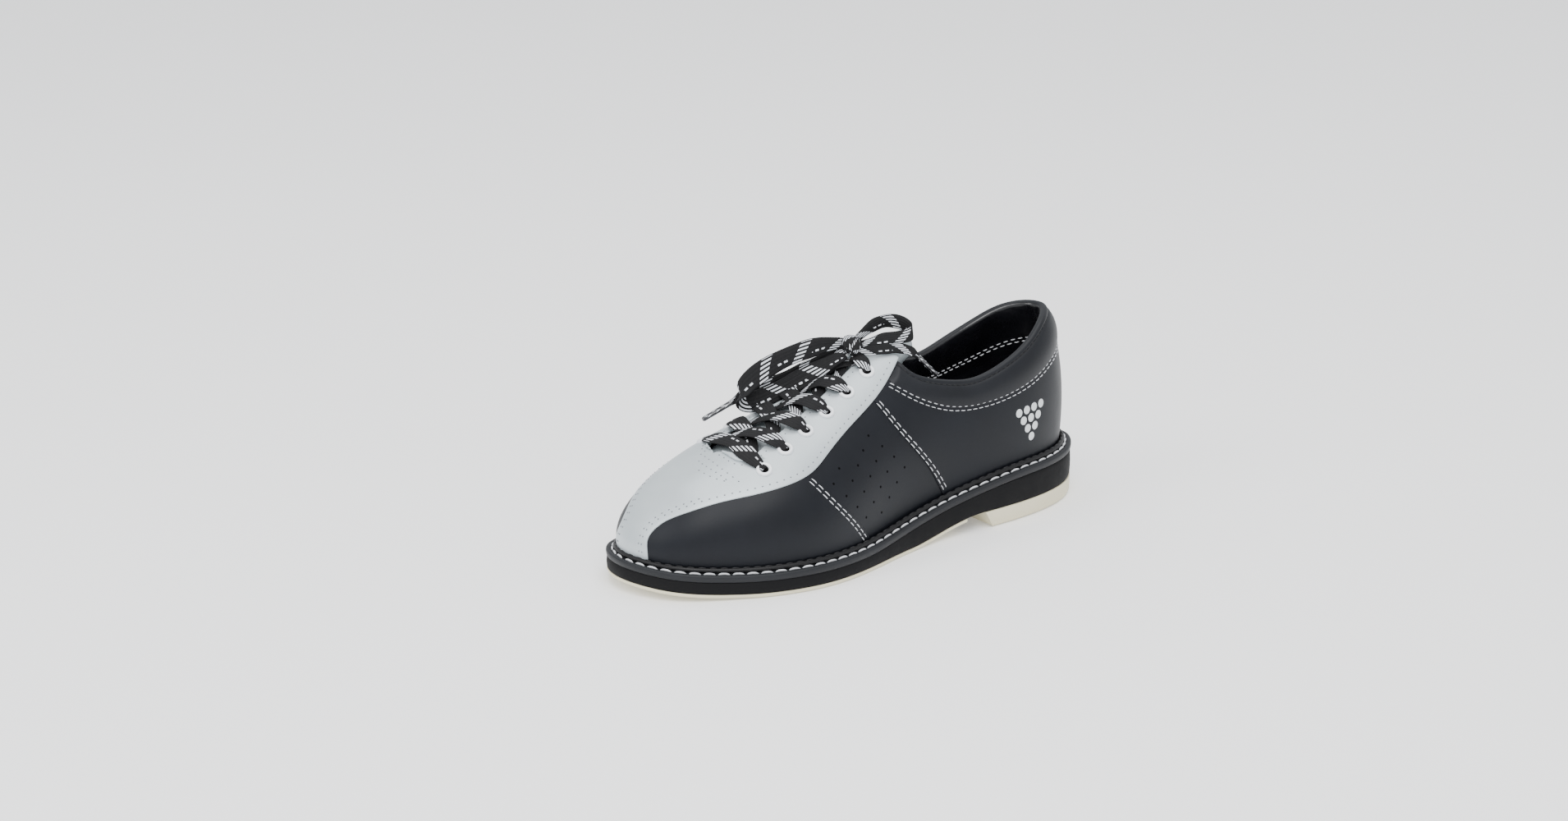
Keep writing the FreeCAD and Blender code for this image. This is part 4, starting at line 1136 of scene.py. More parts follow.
WELT = Finish("welt_strip", (0.018, 0.019, 0.022), (0.013, 0.014, 0.016), smooth=0.45, rough=0.58,
              patches=60, grain=1700, relief=0.05, creases=0.3, specular=0.22)
BEAD = Finish("welt_bead_strip", (0.0060, 0.0060, 0.0070), (0.0040, 0.0040, 0.0045), smooth=0.38,
              rough=0.52, patches=70, grain=1500, relief=0.05, specular=0.30)
BLACK_THREAD = Finish("black_thread", (0.012, 0.012, 0.014), (0.007, 0.007, 0.008), smooth=0.45,
                      rough=0.6, patches=400, grain=2600, relief=0.05, specular=0.35)
WHITE_THREAD = Finish("white_thread", (0.70, 0.71, 0.73), (0.58, 0.59, 0.62), smooth=0.5, rough=0.65,
                      patches=500, grain=2600, relief=0.06)
# Grey, darker than the silver: painted shade of the stitch holes along the tonal sewing.
STITCH_HOLE_SHADE = Finish("stitch_hole_painted_shade", (0.20, 0.22, 0.24), (0.12, 0.13, 0.15), smooth=0.5, rough=0.65,
                     patches=500, grain=2600, relief=0.05)
ENAMEL = Finish("white_enamel", (0.86, 0.88, 0.90), (0.82, 0.84, 0.87), smooth=0.14, rough=0.24,
                patches=60, grain=900, relief=0.01, creases=0.1, coat=0.5, coat_roughness=0.08)
# Near-black for the pierced holes and the eyelet bores: painted shade of their insides, put on flat discs
# where no hole is cut.
HOLE_SHADE = Finish("hole_painted_shade", (0.0020, 0.0020, 0.0022), (0.0012, 0.0012, 0.0014), smooth=0.7,
              rough=0.9, patches=300, grain=2000, relief=0.02, specular=0.05)
PRINT = Finish("silver_print", (0.72, 0.74, 0.75), (0.62, 0.64, 0.66), smooth=0.32, rough=0.45,
               patches=220, grain=2400, relief=0.03, metallic=0.35)
BRAID = BraidFinish("flat_lace_braid", (0.0075, 0.0075, 0.0085), (0.0035, 0.0035, 0.0042),
                    smooth=0.6, rough=0.8, patches=300, relief=0.22, specular=0.25)
TIP = BraidFinish("clear_tip_film", (0.030, 0.030, 0.034), (0.015, 0.015, 0.018), smooth=0.14,
                  rough=0.24, patches=300, relief=0.02, coat=0.8, coat_roughness=0.05,
                  fleck=(0.62, 0.64, 0.67), repeat=5.0, lanes=1.4)
CORK = Finish("ground_cork", (0.52, 0.36, 0.22), (0.34, 0.22, 0.13), 0.7, 0.9, 500, 1200, 0.2)
STEEL = Finish("spring_steel_strip", (0.42, 0.43, 0.46), (0.34, 0.35, 0.38), 0.25, 0.4, 120, 900,
               0.02, metallic=1.0)
BOARD = Finish("fibre_board", (0.44, 0.35, 0.26), (0.36, 0.28, 0.20), 0.7, 0.85, 260, 1800, 0.1)
FOAM = Finish("open_cell_foam", (0.36, 0.36, 0.37), (0.28, 0.28, 0.29), 0.85, 0.95, 700, 2200, 0.2)
STIFFENER = Finish("stiffener_sheet", (0.46, 0.43, 0.37), (0.40, 0.37, 0.31), 0.6, 0.75, 200, 1500,
                   0.05)
FLOOR = FloorFinish("studio_floor", (0.93, 0.93, 0.93), (0.92, 0.92, 0.92), smooth=0.75, rough=0.8,
               patches=3, grain=60, relief=0.01)

SLOT_FINISH = {"cream_rubber": CREAM, "black_eva": EVA, "welt_rubber": WELT, "cork": CORK,
               "spring_steel": STEEL, "board": BOARD, "silver_leather": SILVER,
               "black_leather": BLACK_LEATHER, "black_lining": LINING, "foam": FOAM,
               "stiffener": STIFFENER, "white_enamel": ENAMEL, "lace_braid": BRAID,
               "clear_tip": TIP}


# ---------------------------------------------------------------- bookkeeping of pieces


def place_piece(thing: bpy.types.Object, finish: Finish,
                replaces: Sequence[str] = (), body: str = "root") -> bpy.types.Object:
    """Dresses a piece, hides the nodes that it stands for, and lets it ride.

    Args:
        thing: The piece.
        finish: Its finish.
        replaces: CAD nodes that it stands for.
        body: The CAD body that it moves with.

    Returns:
        The same piece.
    """
    finish.dress(thing)
    if replaces:
        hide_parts(*replaces)
    if body:
        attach(thing, body)
    log.info("%s: %d faces", thing.name, len(thing.data.polygons))
    return thing


# ---------------------------------------------------------------- the sole


@dataclass
class Sole:
    """Outsole, heel pad, midsole, welt and the bead at the feather line."""

    edge_inset: float = 0.4
    stations: int = 150
    across: int = 14
    heel_bevel: float = 5.0
    outsole_end: float = 12.0
    stitch: Thread = field(default_factory=lambda: Thread(pitch=7.3, length=6.1, width=1.15,
                                                          height=0.55, slant=0.3, section=10,
                                                          stations=9))

    def shares(self, front: float | None, outline: Outline) -> tuple[float, float]:
        """Runs on the outer and inner side where an outline passes a station."""
        if front is None:
            return 0.0, 0.0
        run = np.linspace(0, 1, 800)
        outer, inner = LAST.plan(outline, run)[:, 1], LAST.plan(outline, -run)[:, 1]
        return float(np.interp(front, outer, run)), float(np.interp(front, inner, run))

    def loft(self, name: str, outline: Outline, top: Curve, low: Curve,
             profile: Sequence[tuple[float, float, float]], front: float | None = None,
             rear: float | None = None, slant: float = 0.0) -> bpy.types.Object:
        """A sole layer with a shaped side.

        Args:
            name: The piece's name.
            outline: Its plan outline.
            top: Height of its top face at a station.
            low: Height of its under face.
            profile: (inset, share of the height, mm added to the height) down the side.
            front: Station of its front end, if it isn't the toe.
            rear: Station of its rear end, if it isn't the heel.
            slant: How far its front end leans back at the bottom.

        Returns:
            The closed layer.
        """
        share = (1 - np.cos(np.linspace(0, np.pi, self.stations))) / 2
        rings = []
        for inset, height, extra in profile:
            lead = None if front is None else front + inset * 0.8 + slant * (1 - height)
            tail = None if rear is None else rear - inset * 0.8
            a_out, a_in = self.shares(lead, outline)
            b_out, b_in = (1.0, 1.0) if tail is None else self.shares(tail, outline)
            outer = LAST.plan(outline, a_out + (b_out - a_out) * share, inset)
            inner = LAST.plan(outline, -(a_in + (b_in - a_in) * share), inset)
            w = np.linspace(0, 1, self.across)[:, None]
            start = outer[0] + (inner[0] - outer[0]) * w
            end = outer[-1] + (inner[-1] - outer[-1]) * w
            ring = np.concatenate([outer[:-1], end[:-1], inner[::-1][:-1], start[::-1][:-1]])
            z = low(ring[:, 1]) + (top(ring[:, 1]) - low(ring[:, 1])) * height + extra
            rings.append((np.column_stack([ring, z]), outer, inner, height, extra))
        count = len(rings[0][0])
        points = [r[0] for r in rings]
        faces = [grid_faces(len(rings), count, wrap=True)]
        start = len(rings) * count
        for _, outer, inner, height, extra in (rings[0], rings[-1]):
            w = np.linspace(0, 1, self.across)
            plan = outer[:, None] + (inner - outer)[:, None] * w[None, :, None]
            y = plan[..., 1]
            z = low(y) + (top(y) - low(y)) * height + extra
            points.append(np.concatenate([plan, z[..., None]], -1).reshape(-1, 3))
            faces.append(grid_faces(len(outer), self.across, start))
            start += len(outer) * self.across
        thing = new_object(name, np.concatenate(points), np.concatenate(faces))
        merged(thing, 0.012)
        sharpen(thing, 42)
        return thing

    def build(self) -> None:
        """Makes and places the sole's pieces."""
        edge = LAST.edge
        base = self.edge_inset
        self.midsole(base)
        outsole = self.loft("forefoot_tread", edge, LAST.midsole_bottom, LAST.outsole_bottom,
                            [(base + 0.1, 1.0, 0.0), (base, 0.5, 0.0), (base + 0.25, 0.12, 0.0),
                             (base + 0.7, 0.0, 0.0)], rear=LAST.heel_front - self.outsole_end)
        place_piece(outsole, CREAM, ["forefoot_outsole"])
        top = lambda y: np.full_like(y, LAST.heel_pad - 0.05)
        heel = self.loft("heel_tread", edge, top, lambda y: np.zeros_like(y),
                         [(base, 1.0, 0.0), (base - 0.1, 0.6, 0.0), (base + 0.1, 0.14, 0.0),
                          (base + 0.5, 0.05, 0.0), (base + 1.2, 0.0, 0.0)],
                         front=LAST.heel_front, slant=self.heel_bevel)
        place_piece(heel, CREAM, ["heel_pad"])
        self.welt_ring()
        self.bead()
        self.stitches()

    def midsole(self, base: float) -> None:
        """The black foam layer, a little full at its side."""
        profile = [(base + 0.9, 1.0, 0.0), (base + 0.35, 0.97, 0.0), (base + 0.05, 0.86, 0.0),
                   (base - 0.15, 0.5, 0.0), (base + 0.0, 0.15, 0.0), (base + 0.25, 0.05, 0.0),
                   (base + 0.7, 0.0, 0.0)]
        thing = self.loft("midsole_wedge", LAST.edge, LAST.midsole_top, LAST.midsole_bottom, profile)
        place_piece(thing, EVA, ["midsole"])

    def ring(self, name: str, outline: Outline, profile: Sequence[tuple[float, float]],
             count: int = 640) -> bpy.types.Object:
        """A closed ring swept round an outline.

        Args:
            name: The piece's name.
            outline: The outline it follows.
            profile: (inset, height above the seat) round its closed section.
            count: Stations round the outline.

        Returns:
            The ring.
        """
        distance = outline.length * np.arange(count) / count
        plan, inward = outline.at(distance), outline.inward(distance, 2.0)
        rows = []
        for inset, height in profile:
            at = plan + inward * inset
            rows.append(np.column_stack([at, LAST.seat(at[:, 1]) + height]))
        points = np.stack(rows, 1)
        points = np.concatenate([points, points[:1]])
        thing = new_object(name, points.reshape(-1, 3), grid_faces(count + 1, len(profile), wrap=True))
        merged(thing, 0.01)
        return thing

    def welt_ring(self) -> None:
        """The welt: a strip with a grooved top and a rounded outer edge."""
        thick = LAST.welt
        groove = LAST.pattern_margin
        profile = [(13.1, 0.0), (groove + 1.6, 0.0), (groove + 1.1, -0.05), (groove + 0.8, -0.38),
                   (groove, -0.5), (groove - 0.8, -0.38), (groove - 1.1, -0.05), (1.5, 0.0),
                   (0.75, -0.10), (0.25, -0.38), (0.02, -0.9), (-0.05, -1.6), (0.1, -2.6),
                   (0.35, -thick + 0.35), (0.7, -thick), (13.1, -thick)]
        thing = self.ring("welt_strip", LAST.edge, profile)
        sharpen(thing, 50)
        place_piece(thing, WELT, ["welt"])

    def bead(self) -> None:
        """The rolled bead between the welt and the upper, with its own dark stitches."""
        angle = np.arange(12) * 2 * np.pi / 12
        middle, half, high = 2.2, 1.35, 1.3
        profile = [(-middle - half * math.cos(t), high + high * math.sin(t)) for t in angle]
        thing = self.ring("feather_bead", LAST.feather, profile)
        place_piece(thing, BEAD, ["welt_bead"])
        outline = LAST.feather.inset(-middle)
        distance = np.linspace(0, outline.length, 1200)
        plan = outline.at(distance)
        points = np.column_stack([plan, LAST.seat(plan[:, 1]) + 2 * high - 0.05])
        normals = np.tile([0.0, 0.0, 1.0], (len(points), 1))
        thread = Thread(pitch=5.6, length=4.4, width=1.1, height=0.3, section=6, stations=6)
        place_piece(thread.sew("bead_stitches", [(points, normals)]), BLACK_THREAD)

    def stitches(self) -> None:
        """The thick white stitches in the welt's groove."""
        outline = LAST.edge.inset(LAST.pattern_margin)
        distance = np.linspace(0, outline.length, 1600)
        plan = outline.at(distance)
        points = np.column_stack([plan, LAST.seat(plan[:, 1]) - 0.12])
        normals = np.tile([0.0, 0.0, 1.0], (len(points), 1))
        place_piece(self.stitch.sew("welt_stitches", [(points, normals)]), WHITE_THREAD)


# ---------------------------------------------------------------- the upper


@dataclass
class Upper:
    """The leather panels, their sewing, the pierced pattern and the printed mark."""

    leather: Leather = field(default_factory=Leather)
    lap: float = 2.3
    tuck: float = 4.0
    over: float = 0.55
    stripe_lift: float = 1.05
    row_gap: float = 2.1
    columns: int = 5
    tab_rows: tuple = (((-7.0, -91.6), (13.3, -93.7), (28.0, -91.2)),
                       ((-2.2, -96.3), (7.8, -97.6), (23.3, -95.8)),
                       ((4.0, -101.8), (14.8, -100.5), (23.3, -95.8)))
    thread: Thread = field(default_factory=Thread)
    fine_thread: Thread = field(default_factory=lambda: Thread(pitch=3.85, length=3.0, width=0.44,
                                                               height=0.28))

    def sign(self, side: Side, line: Curve) -> Curve:
        """A line on one side."""
        return line if side is Side.LATERAL else mirrored(line)

    def panel(self, name: str, side: Side, lines: Sequence[Curve], lift: float,
              size: tuple[int, int]) -> bpy.types.Object:
        """One leather panel from its foot, head, front and rear lines."""
        patch = coons(*lines)
        if side is Side.MEDIAL:
            outer = patch
            patch = lambda a, b: outer(a, b) * np.array([-1.0, 1.0])
        grid = self.leather.grid(patch, *size, lift)
        if side is Side.MEDIAL:
            grid = grid[::-1]
        return self.leather.cut(name, [grid])

    def build(self) -> None:
        """Makes and places the upper's pieces."""
        for side in Side:
            self.side_panels(side)
            self.seam_rows(side)
            self.pierced(side)
        self.silver()
        self.stripe_rows()
        self.mark()

    def side_panels(self, side: Side) -> None:
        """Vamp, side panel and heel quarter of one side."""
        p = PATTERN
        shift = LAST.shifted
        stripe_under = shift(p.stripe.between(p.corner, p.front_seam_top), self.tuck)
        vamp_rear = shift(p.front_seam.whole(), -self.lap)
        foot = straight((0.030, 0.0), tuple(vamp_rear(np.array(0.0))))
        front = shift(p.stripe.between(0, p.corner), self.tuck)
        vamp = self.panel(f"vamp_leather_{side.word}", side,
                          self.square(foot, stripe_under, front, vamp_rear), self.over, (84, 44))
        place_piece(vamp, BLACK_LEATHER, [f"vamp_{side.word}"])
        head = shift(p.stripe.between(p.front_seam_top, p.rear_seam_top), self.tuck)
        front = shift(p.front_seam.whole(), self.tuck)
        rear = shift(p.rear_seam.whole(), -self.tuck)
        foot = straight(tuple(front(np.array(0.0))), tuple(rear(np.array(0.0))))
        middle = self.panel(f"side_leather_{side.word}", side,
                            self.square(foot, head, front, rear), 0.0, (60, 44))
        place_piece(middle, BLACK_LEATHER, [f"side_panel_{side.word}"])
        front = shift(p.rear_seam.whole(), self.lap)
        head = joined(shift(p.stripe.between(p.rear_seam_top, p.collar_front), self.tuck),
                      shift(SeamLine(p.collar_seam).whole(), self.lap), 0.11)
        foot = straight(tuple(front(np.array(0.0))), (1.0, 0.0))
        rear = straight((1.0, 0.0), tuple(head(np.array(1.0))))
        quarter = self.panel(f"quarter_leather_{side.word}", side,
                             self.square(foot, head, front, rear), self.over, (96, 40))
        place_piece(quarter, BLACK_LEATHER, [f"heel_quarter_{side.word}"])

    @staticmethod
    def square(foot: Curve, head: Curve, front: Curve, rear: Curve) -> tuple[Curve, ...]:
        """Four lines with the corners of front and rear drawn onto those of foot and head."""

        def drawn(line: Curve, low: Array, high: Array) -> Curve:
            """A line moved so that it starts at low and ends at high."""
            start, end = line(np.array(0.0)), line(np.array(1.0))

            def moved(share: Array) -> Array:
                """Places at shares of the drawn line."""
                s = np.asarray(share, float)[..., None]
                return line(share) + (low - start) * (1 - s) + (high - end) * s

            return moved

        zero, one = np.array(0.0), np.array(1.0)
        return (foot, head, drawn(front, foot(zero), head(zero)), drawn(rear, foot(one), head(one)))

    def seam_rows(self, side: Side) -> None:
        """The double rows of white sewing along the seams of one side."""
        p = PATTERN
        half = self.row_gap / 2
        lift = self.over
        specs = (("front_seam", p.front_seam.whole(), (-0.2, -0.2), (0.05, 0.96)),
                 ("rear_seam", p.rear_seam.whole(), (0.2, 0.2), (0.05, 0.97)),
                 ("collar_seam", SeamLine(p.collar_seam).whole(), (0.2, 0.2), (0.02, 0.998)))
        for name, line, (shift, _), (start, end) in specs:
            rows = []
            for offset in (-half, half):
                row = self.sign(side, LAST.shifted(line, offset))
                rows.append(surface_row(row, start, end, lift + 0.04))
            thread = self.fine_thread if name == "collar_seam" else self.thread
            thing = thread.sew(f"{name}_stitches_{side.word}", rows)
            place_piece(thing, WHITE_THREAD)

    def pierced(self, side: Side) -> None:
        """The lattice of small holes in the side panel, in columns along the front seam, drawn as
        near-black discs of painted shade where no hole is cut.
        """
        p = PATTERN
        share = np.linspace(0, 1, 160)
        rims = [LAST.bare(line(share)) for line in (p.stripe.between(6, 11), p.rear_seam.whole())]
        found, holes = [], []
        for column in range(self.columns):
            places = LAST.far_shifted(p.front_seam.whole()(np.linspace(-0.05, 1.25, 120)),
                                      -(8.1 + 9.2 * column))
            points = LAST.bare(places)
            marks = np.concatenate([[0.0], np.cumsum(np.linalg.norm(np.diff(points, axis=0), axis=1))])
            for distance in np.arange(6.0, marks[-1], 9.8):
                place = np.array([np.interp(distance, marks, places[:, k]) for k in range(2)])
                at = LAST.bare(place)
                room = [np.linalg.norm(rim - at, axis=1).min() for rim in rims]
                room.append(min([9.0] + [float(np.linalg.norm(at - other)) for other in holes]))
                if place[1] > 0.08 and room[0] > 8.0 and room[1] > 5.2 and room[2] > 6.5:
                    holes.append(at)
                    found.append((side.value * place[0], place[1]))
        places = np.array(found)
        # Painted shade: each hole is a shallow near-black disc on the leather.
        thing = discs(f"pierced_holes_{side.word}", LAST.points(places, 0.0), LAST.normals(places),
                      0.68, 0.04, dish=0.03, sides=12)
        place_piece(thing, HOLE_SHADE)

    def silver(self) -> None:
        """The toe stripe and both facings, one continuous silver piece."""
        p = PATTERN
        half = 22
        columns = 70
        a, b = np.meshgrid(np.linspace(0, 1, columns), np.linspace(0, 1, 2 * half + 1), indexing="ij")
        grids = [LAST.points(self.stripe_places(b, a), self.stripe_lift).transpose(0, 1, 2)[:, ::-1]]
        for side in Side:
            outer = self.sign(side, p.stripe.between(p.cross, p.end))
            inner = p.throat_edge(side).whole()
            zero, one = np.array(0.0), np.array(1.0)
            front = straight(tuple(outer(zero)), tuple(inner(zero)))
            rear = straight(tuple(outer(one)), tuple(inner(one)))
            patch = coons(outer, inner, front, rear)
            grid = self.leather.grid(patch, 84, half + 1, self.stripe_lift)
            grids.append(grid if side is Side.LATERAL else grid[::-1])
        thing = self.leather.cut("stripe_and_facings", grids)
        place_piece(thing, SILVER,
                    ["toe_stripe", "eyestay_lateral", "eyestay_medial"])

    @staticmethod
    def stripe_places(across: Array, along: Array) -> Array:
        """Places of the toe stripe: across from the inner edge (0) to the outer edge (1)."""
        p = PATTERN
        turn = 0.84
        edge = p.stripe.between(0, p.cross)(along)
        climb = along < turn
        centre_run = np.where(climb, 0.0, (along - turn) / (1 - turn) * p.ridge_cross[0])
        centre_rise = np.where(climb, along / turn, 1.0)
        share = np.abs(2 * across - 1)
        run = centre_run + (edge[..., 0] - centre_run) * share
        rise = centre_rise + (edge[..., 1] - centre_rise) * share
        return np.stack([np.where(across >= 0.5, run, -np.maximum(run, 1e-6)), rise], -1)

    def stripe_rows(self) -> None:
        """Tonal sewing along the edges of the stripe and facings, across the throat and round it, as short
        grey dashes that paint the shade of the stitch holes.
        """
        p = PATTERN
        lift = self.stripe_lift
        rows = []
        for side in Side:
            for depth, end in ((2.7, 0.985), (4.5, 0.50)):
                line = LAST.shifted(p.stripe.whole(), depth)
                rows.append(surface_row(self.sign(side, line), 0.01, end, lift, 600))
            throat = p.throat_edge(side).whole()
            inner = LAST.shifted(throat, 2.6 if side is Side.MEDIAL else -2.6)
            rows.append(surface_row(inner, 0.10, 0.97, lift, 400))
        for line in self.tab_rows:
            rows.append(surface_row(LAST.above_line(line), 0.0, 1.0, lift, 120))
        # Painted shade: short grey dashes stand for the dark stitch holes on the silver.
        thread = Thread(pitch=3.9, length=1.05, width=0.62, height=0.2, section=6, stations=5)
        place_piece(thread.sew("stripe_stitch_hole_shade", rows), STITCH_HOLE_SHADE)

    def mark(self) -> None:
        """A rack of ten silver dots printed on the outer heel."""
        centre = np.array([0.822, 0.148])
        along, up = LAST.tangents(centre)
        out = LAST.normals(centre)
        side_vec = along / np.linalg.norm(along)
        up_vec = np.cross(out, side_vec)
        up_vec /= np.linalg.norm(up_vec)
        if up_vec[2] < 0:
            up_vec = -up_vec
        step = 5.9
        places = []
        for row in range(4):
            for i in range(row + 1):
                move = side_vec * (i - row / 2) * step - up_vec * (1.5 - row) * step * 0.87
                places.append(centre + LAST.solve(along, up, move))
        places = np.array(places)
        thing = discs("heel_mark_dots", LAST.points(places, self.over), LAST.normals(places), 2.3,
                      0.07, sides=24)
        place_piece(thing, PRINT)


# ---------------------------------------------------------------- the collar


@dataclass
class Collar:
    """The padded collar, its rolled lip and the lining inside it."""

    bulge: float = 2.0
    lip: float = 2.5
    lip_out: float = 0.7
    stations: int = 190
    leather: Leather = field(default_factory=lambda: Leather(thickness=0.9, edge_radius=0.3))

    def __post_init__(self) -> None:
        """Lays out the band between the seam and the top."""
        p = PATTERN
        end = p.stripe.between(p.collar_front, p.end)
        self.patch = coons(p.both_ways(p.collar_seam), p.both_ways(p.topline), end,
                           lambda share: np.array([2.0, 0.0]) + end(share) * np.array([-1.0, 1.0]))
        self.t = np.linspace(-0.024, 1.024, self.stations)
        low, top = (LAST.bare(self.patch(self.t, np.full_like(self.t, v))) for v in (0.0, 1.0))
        self.height = np.linalg.norm(top - low, axis=1)
        self.end = ease((np.minimum(self.t, 1 - self.t) + 0.004) / 0.045)
        self.crest = -0.3 + (self.lip_out + 0.3) * self.end

    def at(self, above_seam: Array, out: Array) -> Array:
        """Points round the collar at heights above the seam and lifts from the last."""
        return LAST.points(self.patch(self.t, above_seam / self.height), out)

    def pinch(self) -> Array:
        """How much the padding is drawn in at the heel seam."""
        reach = (self.t - 0.5) * 300 / 2.2
        return np.exp(-reach ** 2)

    def build(self) -> None:
        """Makes and places the collar's pieces."""
        middle = self.height - self.lip
        full = self.bulge * np.clip(middle / 15, 0.35, 1.0) * (1 - 0.6 * self.pinch()) * self.end
        rows = [self.at(np.full_like(middle, -4.0), np.full_like(middle, -0.5))]
        for share in np.linspace(0, 1, 12):
            swell = np.sin(np.pi * min(1.0, share * 0.93 + 0.03)) ** 0.75
            rows.append(self.at((middle - 1.2) * share, 0.0 + full * swell + share * (self.crest - 0.25)))
        rows.append(self.at(middle - 0.75, self.crest - 0.62))
        for angle in (-0.12, 0.2, 0.55, 0.9, 1.25, 1.6, 1.95):
            rows.append(self.lip_row(angle))
        grid = np.stack(rows, 1)
        thing = self.leather.cut("collar_band", [grid])
        place_piece(thing, COLLAR_LEATHER, ["collar", "collar_foam"])
        self.lining()
        self.stitches()

    def lip_row(self, angle: float, extra: float = 0.0) -> Array:
        """Points of the rolled lip at an angle over it, from 0 outside to pi inside."""
        radius = self.lip + extra
        middle = self.height - self.lip
        return self.at(middle + radius * math.sin(angle),
                       self.crest - self.lip + radius * math.cos(angle))

    def lining(self) -> None:
        """The glossy padded lining inside the collar."""
        middle = self.height - self.lip
        rows = [self.lip_row(a, -0.12) for a in (1.7, 1.9, 2.15, 2.4, 2.7, 3.0)]
        deep = self.crest - 2 * self.lip
        for share in np.linspace(0.04, 1, 9):
            swell = -1.0 * math.sin(math.pi * share) ** 0.8
            rows.append(self.at(middle * (1 - share), deep + swell + 0.6 * share + 0 * middle))
        rows.append(self.at(middle * 0 - 3.0, deep + 0.75 + 0 * middle))
        rows.append(self.at(middle * 0 - 9.0, -3.45 + 0 * middle))
        grid = np.stack(rows, 1)
        thing = self.leather.cut("mouth_lining", [grid])
        place_piece(thing, LINING, ["collar_lining"])

    def stitches(self) -> None:
        """Dark sewing in the groove under the lip and white sewing on the lining."""
        middle = self.height - self.lip
        row = self.at(middle - 0.75, self.crest - 0.45)
        normals = LAST.normals(self.patch(self.t, middle / self.height))
        thread = Thread(pitch=3.4, length=2.5, width=0.6, height=0.35, section=6, stations=6)
        place_piece(thread.sew("collar_lip_stitches", [(row, normals)]), BLACK_THREAD)
        rows = []
        for drop in (-1.2, -3.2):
            deep = self.crest - 2 * self.lip + 0.75
            row = self.at(middle * 0 + drop, deep - 0.1 + 0 * middle)
            rows.append((row, -LAST.normals(self.patch(self.t, 0 * middle))))
        thread = Thread(pitch=4.0, length=2.8, width=0.6, height=0.3, section=6, stations=6)
        place_piece(thread.sew("lining_stitches", rows), WHITE_THREAD)


# ---------------------------------------------------------------- eyelets


@dataclass
class Eyelets:
    """Twelve enamelled eyelets with rolled flanges."""

    bore: float = 2.2
    flange: float = 4.2
    height: float = 1.0
    sides: int = 40

    def profile(self) -> list[tuple[float, float]]:
        """(radius, height) down the outside of the flange, over it and down the bore."""
        rim = [(self.flange - 0.1, -0.5), (self.flange, 0.0)]
        for i in range(9):
            angle = math.pi * i / 8
            middle = (self.flange + self.bore) / 2
            reach = (self.flange - self.bore) / 2
            rim.append((middle + reach * math.cos(angle), 0.1 + self.height * math.sin(angle) ** 0.8))
        return rim + [(self.bore, -0.4), (self.bore - 0.05, -2.4)]

    def build(self) -> None:
        """Makes and places the eyelets and a near-black disc in each bore, painted shade of the bore's
        inside.
        """
        angle = np.arange(self.sides) * 2 * np.pi / self.sides
        lift = 1.05
        for side in Side:
            centres, outs = [], []
            for number in range(PATTERN.eyelets):
                x, y = PATTERN.eyelet(side, number)
                place = LAST.above(np.array(x), np.array(y))
                out = LAST.normals(place)
                base = LAST.points(place, lift)
                first = np.cross(out, [0.0, 0.0, 1.0])
                first /= np.linalg.norm(first)
                second = np.cross(out, first)
                rows = [base + out * h + (first * np.cos(angle)[:, None]
                                          + second * np.sin(angle)[:, None]) * r
                        for r, h in self.profile()]
                points = np.stack(rows, 1)
                points = np.concatenate([points, points[:1]])
                thing = new_object(f"eyelet_ring_{side.word}_{number + 1}", points.reshape(-1, 3),
                                   grid_faces(self.sides + 1, len(rows)))
                merged(thing, 0.01)
                place_piece(thing, ENAMEL, [f"eyelet_{side.word}_{number + 1}"])
                centres.append(base)
                outs.append(out)
            # Painted shade: flat near-black discs fill the bores in place of their shadowed inside.
            dark = discs(f"eyelet_bores_{side.word}", np.array(centres), np.array(outs),
                         self.bore + 0.1, 0.06, sides=24)
            place_piece(dark, HOLE_SHADE)


# ---------------------------------------------------------------- the tongue


